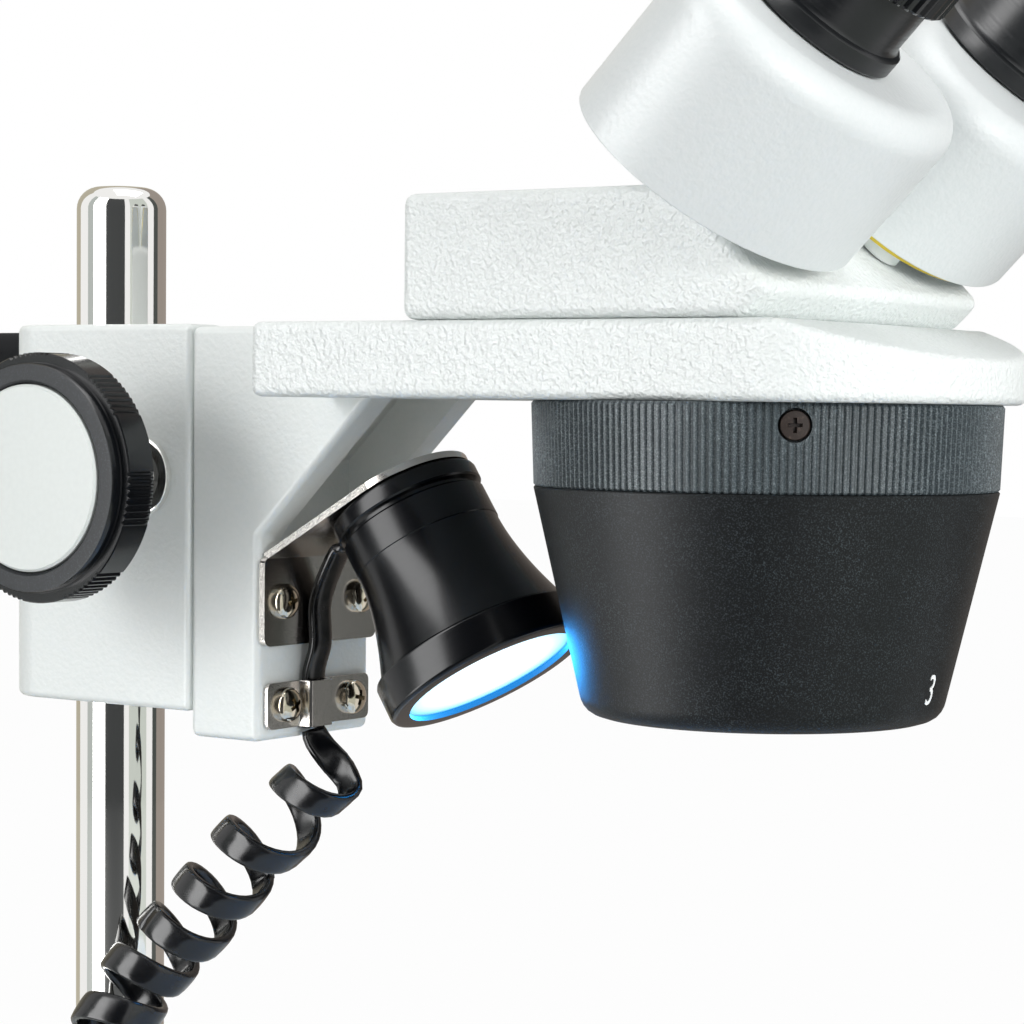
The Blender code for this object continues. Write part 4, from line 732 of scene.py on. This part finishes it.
def push_outline(name, corners, low, high):
    """An outline of (x, z) corners as a solid from y = low to y = high: a plane's edges are drawn round it."""
    clear()
    bpy.ops.mesh.primitive_circle_add(vertices=len(corners), radius=MM, fill_type="NGON")
    piece = bpy.context.object
    piece.name = piece.data.name = name
    for vertex, (x, z) in zip(piece.data.vertices, corners):
        vertex.co = (x * MM, low * MM, z * MM)
    bpy.ops.object.mode_set(mode="EDIT")
    bpy.ops.mesh.select_all(action="SELECT")
    bpy.ops.mesh.extrude_region_move(TRANSFORM_OT_translate={"value": (0, (high - low) * MM, 0)})
    bpy.ops.mesh.select_all(action="SELECT")
    bpy.ops.mesh.normals_make_consistent(inside=False)
    bpy.ops.object.mode_set(mode="OBJECT")
    return piece


def half_disc(name, long, wide, draw_back, end_share, thickness, steps=96):
    """Half an ellipse towards +X, its straight edge drawn back and narrowed, then pushed up."""
    clear()
    bpy.ops.mesh.primitive_circle_add(vertices=steps, radius=MM, fill_type="NGON")
    piece = bpy.context.object
    piece.name = piece.data.name = name
    bpy.ops.object.mode_set(mode="EDIT")
    bpy.ops.transform.resize(value=(long, wide, 1), center_override=(0, 0, 0))
    bpy.ops.mesh.bisect(plane_co=(0, 0, 0), plane_no=(1, 0, 0), clear_inner=True)
    pick(piece, "edges", lambda m: abs(m.x) < 1e-3)
    bpy.ops.mesh.extrude_region_move(TRANSFORM_OT_translate={"value": (-draw_back * MM, 0, 0)})
    bpy.ops.transform.resize(value=(1, end_share, 1), center_override=(0, 0, 0))
    bpy.ops.mesh.select_all(action="SELECT")
    bpy.ops.mesh.dissolve_limited(angle_limit=0.01)
    bpy.ops.mesh.select_all(action="SELECT")
    bpy.ops.mesh.extrude_region_move(TRANSFORM_OT_translate={"value": (0, 0, thickness * MM)})
    bpy.ops.mesh.select_all(action="SELECT")
    bpy.ops.mesh.normals_make_consistent(inside=False)
    bpy.ops.object.mode_set(mode="OBJECT")
    return piece


arm = push_outline("cast_arm", [(30.14, -58.47), (45.14, -58.47), (45.14, -23.46), (74.0, 5.4), (64.0, 11.9),
                                (30.14, 11.9)], -15.45, 15.45)
soften(arm, 1.3)
carve(arm, push_outline("hollow", [(45.14, -10.73), (55.87, 0), (78, 0), (78, -34), (45.14, -34)], -9.35, 9.35))
plate = half_disc("plate", 21.6, 35.6, 91.6, 1.0, 11.9, 128)
plate.location.x = 151.1 * MM
only(plate)
bpy.ops.object.transform_apply()
pick(plate, "edges", lambda m: m.x < 61 and abs(m.z - 5.95) < 1)
bpy.ops.mesh.bevel(offset=2 * MM, segments=5, affect="EDGES")
bpy.ops.mesh.select_all(action="SELECT")
slope = Vector((5.4, 0, 18.1)).normalized()
bpy.ops.mesh.bisect(plane_co=(154.6 * MM, 0, 11.9 * MM), plane_no=slope, use_fill=True, clear_outer=True)
soften(plate, 1.5, 4)
carve(arm, plate, "UNION")
settle(arm, "carriage", fine_enamel, "white_paint", "arm")
coat(arm, crinkle_enamel, lambda m: m.x > 60 and m.z > -0.5)

# %% [markdown]
# Head: a crinkle-painted box under the two prism housings. Two sloping planes cut its front: the 45 degree face on
# which the housings turn, and a short undercut above the plate.

# %% Head
head = slab("crinkled_head", (89.4, -35.2, 11.95), (153.9, 35.2, 31.2))
pick(head, "vertices", lambda m: True)
bpy.ops.mesh.bisect(plane_co=(153.9 * MM, 0, 16.4 * MM), plane_no=(0.7071, 0, 0.7071), use_fill=True, clear_outer=True)
bpy.ops.mesh.select_all(action="SELECT")
bpy.ops.mesh.bisect(plane_co=(153.9 * MM, 0, 16.4 * MM), plane_no=(4.45, 0, -3.6), use_fill=True, clear_outer=True)
soften(head, 1.8, 4, 30)
settle(head, "carriage", crinkle_enamel, "white_paint", "head_housing")

# %% [markdown]
# Each prism housing is an oval can: an ellipse pushed up, with a generous round at its top and a crisp lower rim.
# It stands on a brass plate, painted below, and turns with it about a hub on the sloping face. On top of it are the eye tube with
# its flange, the eyepiece with its glass, and a soft cup. One tube has a ribbed ring that sets the eye's focus.

# %% Prism housings and eyepieces


def oval(name, long, short, low, high, crown):
    can = lathe(name, [(1, low), (1, high)], 128)
    pick(can, "vertices", lambda m: True)
    bpy.ops.transform.resize(value=(short, long, 1), center_override=(0, 0, 0))
    pick(can, "edges", lambda m: m.z > high - 0.01)
    bpy.ops.mesh.bevel(offset=crown * MM, segments=8, affect="EDGES")
    pick(can, "edges", lambda m: m.z < low + 0.01)
    bpy.ops.mesh.bevel(offset=0.35 * MM, segments=2, affect="EDGES")
    return can


tube = lathe("tube", [(11, 29.6), (13.4, 29.6), (13.7, 29.9), (13.7, 32.3), (13.4, 32.6), (12.9, 32.8), (12.5, 33.6),
                      (12.5, 50.3), (12.2, 50.6), (11, 50.6)], 96, True)
barrel = lathe("barrel", [(10.7, 38.9), (10.7, 50.9), (12.9, 50.9), (13.2, 51.2), (13.2, 53.4), (12.9, 53.6), (12.9, 54.0),
                          (13.2, 54.2), (13.2, 63.6), (12.9, 63.9), (9.6, 63.9), (9.2, 63.4), (8.4, 61.6), (8.2, 61.5)], 96)
eye_glass = lathe("eye_glass", [(8.3, 61.4), (8.3, 61.7), (7.2, 62.1), (5, 62.5), (2.5, 62.72), (0.6, 62.76)], 64)
cup = lathe("cup", [(13.5, 59.1), (15.2, 59.1), (15.5, 59.5), (15.5, 61.0), (15.9, 63.0), (17.0, 66.7), (16.8, 67.1),
                    (15.4, 67.1), (15.0, 66.8), (13.9, 64.6), (13.5, 64.2)], 96, True)
ring = lathe("diopter", [(12.8, 40.6), (14.0, 40.6), (14.4, 41.0), (14.4, 47.2), (14.0, 47.6), (12.8, 47.6)], 192, True)
pick(ring, "vertices", lambda m: math.hypot(m.x, m.y) > 14.3 and round(math.atan2(m.y, m.x) / math.pi * 96) % 4 > 1)
bpy.ops.transform.resize(value=(0.968, 0.968, 1), center_override=(0, 0, 0))
for side, sign in (("near", -1), ("far", 1)):
    body = "pod_" + side
    pivot = spot(146.5, sign * 12, 23.8, 45)
    lean = Matrix.Translation((-8.5 * MM, sign * 18.3 * MM, 0)) @ Matrix.Rotation(math.radians(sign * 12.8), 4, "Z")
    settle(oval("prism_can_" + side, 27.6, 18.7, 3.3, 29.8, 5), body, pod_lacquer, "grey_paint",
           "prism_housing_" + side, place=pivot @ lean)
    foot = oval("prism_foot_" + side, 25.8, 16.9, 2.5 - 0.25 * sign, 3.0, 0.1)
    settle(foot, body, brass, "brass", "prism_base_" + side, place=pivot @ lean)
    coat(foot, pod_lacquer, lambda m: m.z < 2.9 and math.hypot(m.x / 16.9, m.y / 25.8) < 0.97, pivot @ lean)
    hub = lathe("pivot_hub_" + side, [(2.2, 0.3), (3.6, 0.3), (3.8, 0.5), (3.8, 2.2), (2.2, 2.2)], 64, True)
    settle(hub, body, fine_enamel, "grey_paint", place=pivot)
    eye = pivot @ Matrix.Translation((-13 * MM, sign * 20 * MM, 0.5 * MM))
    settle(another(tube, "eye_barrel_" + side), body, tube_black, "black_metal", "eye_tube_" + side, place=eye)
    settle(another(barrel, "ocular_" + side), body, tube_black, "black_plastic", "eyepiece_" + side, place=eye)
    settle(another(eye_glass, "ocular_glass_" + side), body, clear_glass, "glass", place=eye)
    settle(another(cup, "soft_cup_" + side), body, rubber, "rubber", "eyecup_" + side, place=eye)
    if sign < 0:
        settle(another(ring, "diopter_grip"), "diopter", knob_gloss, "black_plastic", "diopter_ring", place=eye, angle=25)
for pattern in (tube, barrel, eye_glass, cup, ring):
    bpy.data.objects.remove(pattern, do_unlink=True)

# %% [markdown]
# Turret: a ribbed ring to turn it by, and a cone with two pairs of objectives under it. The ring's circle has four
# points to a rib, and two of them are pressed in, as on the knob. The objectives' holes and the bolt's recess are
# cut into the cone's lower end.

# %% Turret
TURRET_X = 134.3
RIBS = 196
ring = lathe("knurled_ring", [(33.4, -0.05), (36.2, -0.05), (36.56, -0.5), (36.08, -12.9), (35.8, -13.2), (33.4, -13.2)],
             RIBS * 4, True)
pick(ring, "vertices", lambda m: math.hypot(m.x, m.y) > 35.6
     and round(math.atan2(m.y, m.x) / (2 * math.pi) * RIBS * 4) % 4 > 1)
bpy.ops.transform.resize(value=(0.9875, 0.9875, 1), center_override=(0, 0, 0))
socket = lathe("socket", [(2.5, -2), (2.5, 4)], 48)
SCREW_PLACE = Matrix.Rotation(math.radians(-54), 4, "Z") @ Matrix.Translation((36.2 * MM, 0, -3.3 * MM)) \
    @ Matrix.Rotation(math.radians(90), 4, "Y")
socket.matrix_world = SCREW_PLACE
carve(ring, socket)
settle(ring, "turret", ring_coat, "black_coat", "turret_ring", place=spot(TURRET_X, 0, 0), angle=25)

cone = lathe("coated_cone", [(32.9, -0.05), (32.9, -13.3), (35.9, -13.3), (36.06, -13.5), (28.5, -45.8), (28.3, -46.5),
                             (27.9, -47.3), (27.3, -48.0), (26.5, -48.5), (25.5, -48.8)], 192)
holes = [(x, y) for x in (11.7, -11.7) for y in (-12, 12)]
for x, y in holes:
    hole = lathe("hole", [(7.7, -60), (7.7, -40)], 64)
    hole.location = (x * MM, y * MM, 0)
    carve(cone, hole)
carve(cone, lathe("recess", [(6.9, -60), (6.9, -45.8)], 64))
settle(cone, "turret", turret_coat, "black_coat", "turret_body", place=spot(TURRET_X, 0, 0))
cell = lathe("cell", [(5.8, -47.8), (7.2, -47.8), (7.4, -47.6), (7.4, -40.5), (5.8, -40.5), (5.8, -45.4), (5.4, -45.8),
                      (5.4, -47.0)], 64, True)
lens = lathe("lens", [(5.7, -43.2), (5.7, -45.6), (4.5, -46.2), (2.5, -46.6), (0.5, -46.7)], 64)
for number, (x, y) in enumerate(holes, 1):
    place = spot(TURRET_X + x, y, -0.7)
    settle(another(cell, "objective_cell_%d" % number), "turret", tube_black, "black_metal", "objective_%d" % number,
           place=place)
    settle(another(lens, "objective_glass_%d" % number), "turret", clear_glass, "glass", place=place)
for pattern in (cell, lens):
    bpy.data.objects.remove(pattern, do_unlink=True)

# %% [markdown]
# Lamp: three turned parts with a fine seam between them, and the glass in front. The housing flares like a trumpet
# towards its front ring. Its outline is given by a short formula, which keeps the curve even.

# %% Lamp
front = lathe("lamp_bezel", [(15.0, 0), (17.3, 0), (17.9, 0.25), (18.2, 0.8), (18.2, 6.0), (18.0, 6.4), (17.7, 6.5),
                             (15.3, 6.5), (15.3, 3.8), (16.1, 3.8), (16.1, 0.8), (15.0, 0.8)], 128, True)
settle(front, "carriage", lamp_black, "black_metal", "lamp_front_ring", place=LAMP)
profile = [(15.5, 6.8)]
for k in range(25):
    t = k / 24
    profile.append((12.85 + 4.2 * (1 - t) ** 1.7, 6.8 + 18.0 * t))
profile += [(13.0, 24.95), (12.9, 30.5), (12.7, 30.7)]
settle(lathe("lamp_trumpet", profile, 128), "carriage", lamp_black, "black_metal", "lamp_housing", place=LAMP)
cap = lathe("lamp_end_cap", [(12.1, 31.0), (12.1, 31.8), (12.9, 31.8), (13.2, 32.1), (13.2, 34.2), (13.0, 34.7),
                             (12.4, 35.0)], 128)
settle(cap, "carriage", lamp_black, "black_metal", "lamp_back_cap", place=LAMP)
glass = lathe("lamp_window", [(15.8, 3.5), (15.8, 1.4), (15.4, 1.1), (10, 0.9), (3, 0.85)], 128)
settle(glass, "carriage", lamp_glass, "lamp_glass", "lamp_lens", place=LAMP)

# %% [markdown]
# Bracket and clip are bent from sheet. The bracket's plate lies on the leg and its tongue lies on the lamp's back,
# so a plate and a half disc are joined. The clip is a strip whose end edge is drawn along the leg, up over the lead
# and down again, before the sheet gets its thickness.

# %% Bracket and clip
bracket = slab("bent_bracket", (45.44, -15.45, -42.17), (46.64, 15.45, -26.8))
pick(bracket, "edges", lambda m: abs(m.x - 46.04) < 0.1)
bpy.ops.mesh.bevel(offset=1.6 * MM, segments=5, affect="EDGES")
tongue = half_disc("tongue", 12.6, 12.6, 20.9, 14.6 / 12.6, 1.2)
tongue.matrix_world = Matrix.Translation(Vector((63.89, 0, -16.26)) * MM) @ Matrix.Rotation(math.radians(-32.3), 4, "Y")
carve(bracket, tongue, "UNION")
soften(bracket, 0.15, 2, 50)
settle(bracket, "carriage", nickel, "chrome", "lamp_bracket")
coat(bracket, sheared, lambda m: abs(m.y) > 12.3 and (abs(m.y) > 15.4 or m.x > 46.8))

HUMP = [(-14, 0), (-5.4, 0), (-5.1, 0.3), (-5.0, 2.2), (-4.7, 2.5), (0.3, 2.5), (0.6, 2.2), (0.7, 0.3), (1.0, 0), (14, 0)]
clear()
bpy.ops.mesh.primitive_plane_add(size=8 * MM)
clip = bpy.context.object
clip.name = clip.data.name = "saddle_clip"
for vertex, (y, z) in zip(clip.data.vertices, ((HUMP[0][0], -56.47), (HUMP[1][0], -56.47), (HUMP[0][0], -48.47),
                                               (HUMP[1][0], -48.47))):
    vertex.co = (45.44 * MM, y * MM, z * MM)
pick(clip, "edges", lambda m: abs(m.y - HUMP[1][0]) < 0.01)
for (y, rise), (next_y, next_rise) in zip(HUMP[1:], HUMP[2:]):
    bpy.ops.mesh.extrude_region_move(TRANSFORM_OT_translate={"value": ((next_rise - rise) * MM, (next_y - y) * MM, 0)})
bpy.ops.mesh.select_all(action="SELECT")
bpy.ops.mesh.normals_make_consistent(inside=False)
bpy.ops.object.mode_set(mode="OBJECT")
change(clip, "SOLIDIFY", thickness=0.8 * MM, offset=0.0)
pick(clip, "edges", lambda m: abs(m.y) > 13.9 and abs(m.x - 45.44) < 0.2)
bpy.ops.mesh.bevel(offset=1.2 * MM, segments=4, affect="EDGES")
soften(clip, 0.18, 2, 45)
shifted = spot(0.4, 0, 0)
settle(clip, "carriage", nickel, "chrome", "cord_clip", place=shifted)

# %% [markdown]
# Screws: a pan head is a low dome on a short wall, and its cross recess is cut by two crossed wedges. One is modelled
# and copied four times. The turret's screw is countersunk and blackened, with the same cross.

# %% Screws
def cross(width, long, depth, top):
    """Two crossed bars, narrower at their lower end, for a recess that is depth deep under a height."""
    bars = []
    for size in ((long, width), (width, long)):
        bar = slab("bar", (-size[0] / 2, -size[1] / 2, top - depth), (size[0] / 2, size[1] / 2, top + 1))
        pick(bar, "polygons", lambda m: m.z < top - depth + 0.01)
        bpy.ops.transform.resize(value=(0.6, 0.6, 1), center_override=(0, 0, 0))
        bars.append(bar)
    return bars


pan = [(3, 0), (3, 0.7)] + [(3 * math.cos(a), 0.7 + 1.5 * math.sin(a)) for a in (0.3, 0.6, 0.9, 1.15, 1.35, 1.5)]
screw = lathe("pan_screw", pan, 64)
for bar in cross(0.9, 3.4, 1.3, 2.2):
    carve(screw, bar)
PLACES = [(46.64, -10.4, -34.6, 14), (46.64, 10.4, -34.6, 40), (46.24, -8.9, -52.4, 30), (46.24, 8.9, -52.4, -12)]
for number, (x, y, z, turn_by) in enumerate(PLACES, 1):
    place = spot(x, y, z, 90) @ Matrix.Rotation(math.radians(turn_by), 4, "Z")
    settle(another(screw, "pan_head_screw_%d" % number), "carriage", screw_metal, "steel", place=place)
bpy.data.objects.remove(screw, do_unlink=True)
screw = lathe("sunk_screw", [(2.2, -2.0), (2.2, -0.3), (2.05, -0.1), (0.6, -0.05)], 48)
for bar in cross(0.7, 2.8, 1.0, 0):
    carve(screw, bar)
oxide = gritty("blackened_steel", "#2B211C", "#54463C", 0.5, 0.5, 0.004, 0.32, 0.5)
settle(screw, "turret", oxide, "black_metal", place=spot(TURRET_X, 0, 0) @ SCREW_PLACE)

# %% [markdown]
# The turret's power is printed in white low on the cone: a plain figure. Text is made a mesh first, then laid on the
# cone's slope, a twentieth of a millimetre proud of the coat.

# %% Figure on the cone
# The ink's second colour is the painted shade between its lumps.
print_white = enamel("pad_printed_ink", "#F2F4F4", "#E6E9E9", 1.6, 0.004, 0.5)
clear()
bpy.ops.object.text_add()
figure = bpy.context.object
figure.data.body = "3"
figure.data.align_x, figure.data.align_y = "CENTER", "CENTER"
figure.data.size = 6.8 * MM
figure.data.extrude = 0.05 * MM
bpy.ops.object.convert(target="MESH")
figure = bpy.context.object
figure.name = figure.data.name = "printed_figure"
pick(figure, "vertices", lambda m: True)
bpy.ops.mesh.remove_doubles(threshold=1e-6)
bpy.ops.transform.resize(value=(0.72, 1, 1), center_override=(0, 0, 0))
lean = math.degrees(math.atan2(7.56, 32.3))
place = spot(TURRET_X, 0, 0) @ Matrix.Rotation(math.radians(-0.5), 4, "Z") \
    @ Matrix.Translation((29.17 * MM, 0, -43.1 * MM)) @ Matrix.Rotation(math.radians(90 + lean), 4, "Y") \
    @ Matrix.Rotation(math.radians(90), 4, "Z")
settle(figure, "turret", print_white, "white_plastic", place=place, angle=30)

# %% [markdown]
# Base: a hollow casting outside the picture. A box gets two small and two large round corners, its underside is
# set in and pushed up to leave a wall, and the seat of the stage disc is cut out of its top. Disc and feet are turned.

# %% Base, disc and feet
base = slab("cast_base", (-40, -70, -167), (206, 70, -135))
pick(base, "edges", lambda m: m.x < -39 and abs(m.z + 151) < 1)
bpy.ops.mesh.bevel(offset=18 * MM, segments=12, affect="EDGES")
pick(base, "edges", lambda m: m.x > 205 and abs(m.z + 151) < 1)
bpy.ops.mesh.bevel(offset=45 * MM, segments=18, affect="EDGES")
pick(base, "polygons", lambda m: m.z < -166.9)
bpy.ops.mesh.inset(thickness=3 * MM)
bpy.ops.mesh.extrude_region_move(TRANSFORM_OT_translate={"value": (0, 0, 26 * MM)})
pick(base, "edges", lambda m: m.z > -135.01)
bpy.ops.mesh.bevel(offset=3 * MM, segments=6, affect="EDGES")
pick(base, "edges", lambda m: m.z < -166.99)
bpy.ops.mesh.bevel(offset=0.5 * MM, segments=2, affect="EDGES")
for profile, x, y in (([(47.8, -139.3), (47.8, -130)], 146, 0), ([(43.5, -145), (43.5, -138)], 146, 0),
                      ([(5.3, -145), (5.3, -130)], 0, 0), ([(2.3, -140), (2.3, -130)], 93, -38),
                      ([(2.3, -140), (2.3, -130)], 93, 38)):
    hole = lathe("hole", profile, 96)
    hole.location = (x * MM, y * MM, 0)
    carve(base, hole)
carve(base, slab("switch_hole", (-42, -42.8, -157.8), (-36, -21.2, -144.2)))
socket = lathe("socket", [(5.8, -42), (5.8, -36)], 48)
socket.matrix_world = Matrix.Translation((0, 30 * MM, -151 * MM)) @ Matrix.Rotation(math.radians(90), 4, "Y")
carve(base, socket)
settle(base, "stand", crinkle_enamel, "white_paint", "base_housing")
disc = lathe("stage_disc", [(47.2, -139), (47.5, -138.7), (47.5, -135.4), (47.1, -135), (20, -135), (3, -135)], 128)
settle(disc, "stand", white_plastic, "white_plastic", "stage_plate", place=spot(146, 0, 0))
foot = lathe("foot", [(7.2, -173), (7.7, -172.8), (8.7, -168), (8.9, -167.5), (8.6, -167.3)], 64)
for number, (x, y) in enumerate([(180, -44), (180, 44), (-14, -44), (-14, 44)], 1):
    settle(another(foot, "rubber_foot_%d" % number), "stand", rubber, "rubber", "foot_%d" % number, place=spot(x, y, 0))
bpy.data.objects.remove(foot, do_unlink=True)

# %% [markdown]
# Stage clips: spring strips with an arch and an upturned tip, each on a slotted stud. The strip is drawn out edge by
# edge like the saddle clip. The cord's gland is a rubber sleeve with grooves that let it bend.

# %% Stage clips and gland
ARCH = [(-6.2, 0), (8.3, 0), (12, 0.9), (16, 2.6), (20.8, 3.5), (26, 2.9), (34, 1.2), (41, 0.15), (44.7, 0), (48, 0.7), (52, 2.45)]
clear()
bpy.ops.mesh.primitive_plane_add(size=7 * MM)
strip = bpy.context.object
for vertex, (x, y) in zip(strip.data.vertices, ((ARCH[0][0], -3.5), (ARCH[1][0], -3.5), (ARCH[0][0], 3.5), (ARCH[1][0], 3.5))):
    vertex.co = (x * MM, y * MM, 0.8 * MM)
pick(strip, "edges", lambda m: abs(m.x - ARCH[1][0]) < 0.01)
for (x, rise), (next_x, next_rise) in zip(ARCH[1:], ARCH[2:]):
    bpy.ops.mesh.extrude_region_move(TRANSFORM_OT_translate={"value": ((next_x - x) * MM, 0, (next_rise - rise) * MM)})
bpy.ops.mesh.select_all(action="SELECT")
bpy.ops.mesh.normals_make_consistent(inside=False)
bpy.ops.object.mode_set(mode="OBJECT")
change(strip, "SOLIDIFY", thickness=1.0 * MM, offset=0.0)
pick(strip, "edges", lambda m: (m.x < -6 or m.x > 51.5) and abs(abs(m.y) - 3.5) < 0.01)
bpy.ops.mesh.bevel(offset=2.4 * MM, segments=6, affect="EDGES")
soften(strip, 0.15, 2, 45)
stud = lathe("stud", [(2, -3.9), (2, 1.2), (3.0, 1.2), (3.1, 1.35), (3.0, 2.1), (2.7, 2.3)], 48)
carve(stud, slab("slot", (-4, -0.4, 1.6), (4, 0.4, 3)))
carve(strip, stud, "UNION")
for side, sign in (("near", -1), ("far", 1)):
    settle(another(strip, "spring_clip_" + side), "clip_" + side, steel, "steel", "stage_clip_" + side,
           place=spot(93, sign * 38, -135))
bpy.data.objects.remove(strip, do_unlink=True)
profile = [(6.6, -134.7), (6.87, -134.4), (6.87, -132.4), (6.6, -132.1), (4.4, -132.1)]
for k in range(4):
    z = -131.4 + 2.4 * k
    profile += [(4.35 - 0.2 * k, z), (3.75 - 0.15 * k, z + 0.3), (3.75 - 0.15 * k, z + 1.2), (4.3 - 0.2 * k, z + 1.5)]
gland = lathe("ribbed_gland", profile + [(3.4, -121.9), (3.2, -121.7)], 64)
settle(gland, "stand", rubber, "rubber", "cord_gland", place=spot(12, -22, 0))

# %% [markdown]
# The solids that stay as they are, mostly inside the stand or behind the base, get their finishes.

# %% Finishes of the other solids
KEPT = {"base_cover": steel, "pillar_nut": steel, "pillar_bush": brass, "lock_screw": steel, "lock_tip": brass,
        "pinion_shaft": steel, "focus_slide": steel, "focus_rack": brass, "led_board": board_lacquer,
        "prism_near": clear_glass, "prism_far": clear_glass, "switch_frame": knob_face, "rocker_switch": knob_gloss,
        "power_inlet": knob_face, "turret_bolt": steel}
for name, finish in KEPT.items():
    nodes[name].data.materials.clear()
    nodes[name].data.materials.append(finish)
print("kept solids:", len(KEPT))
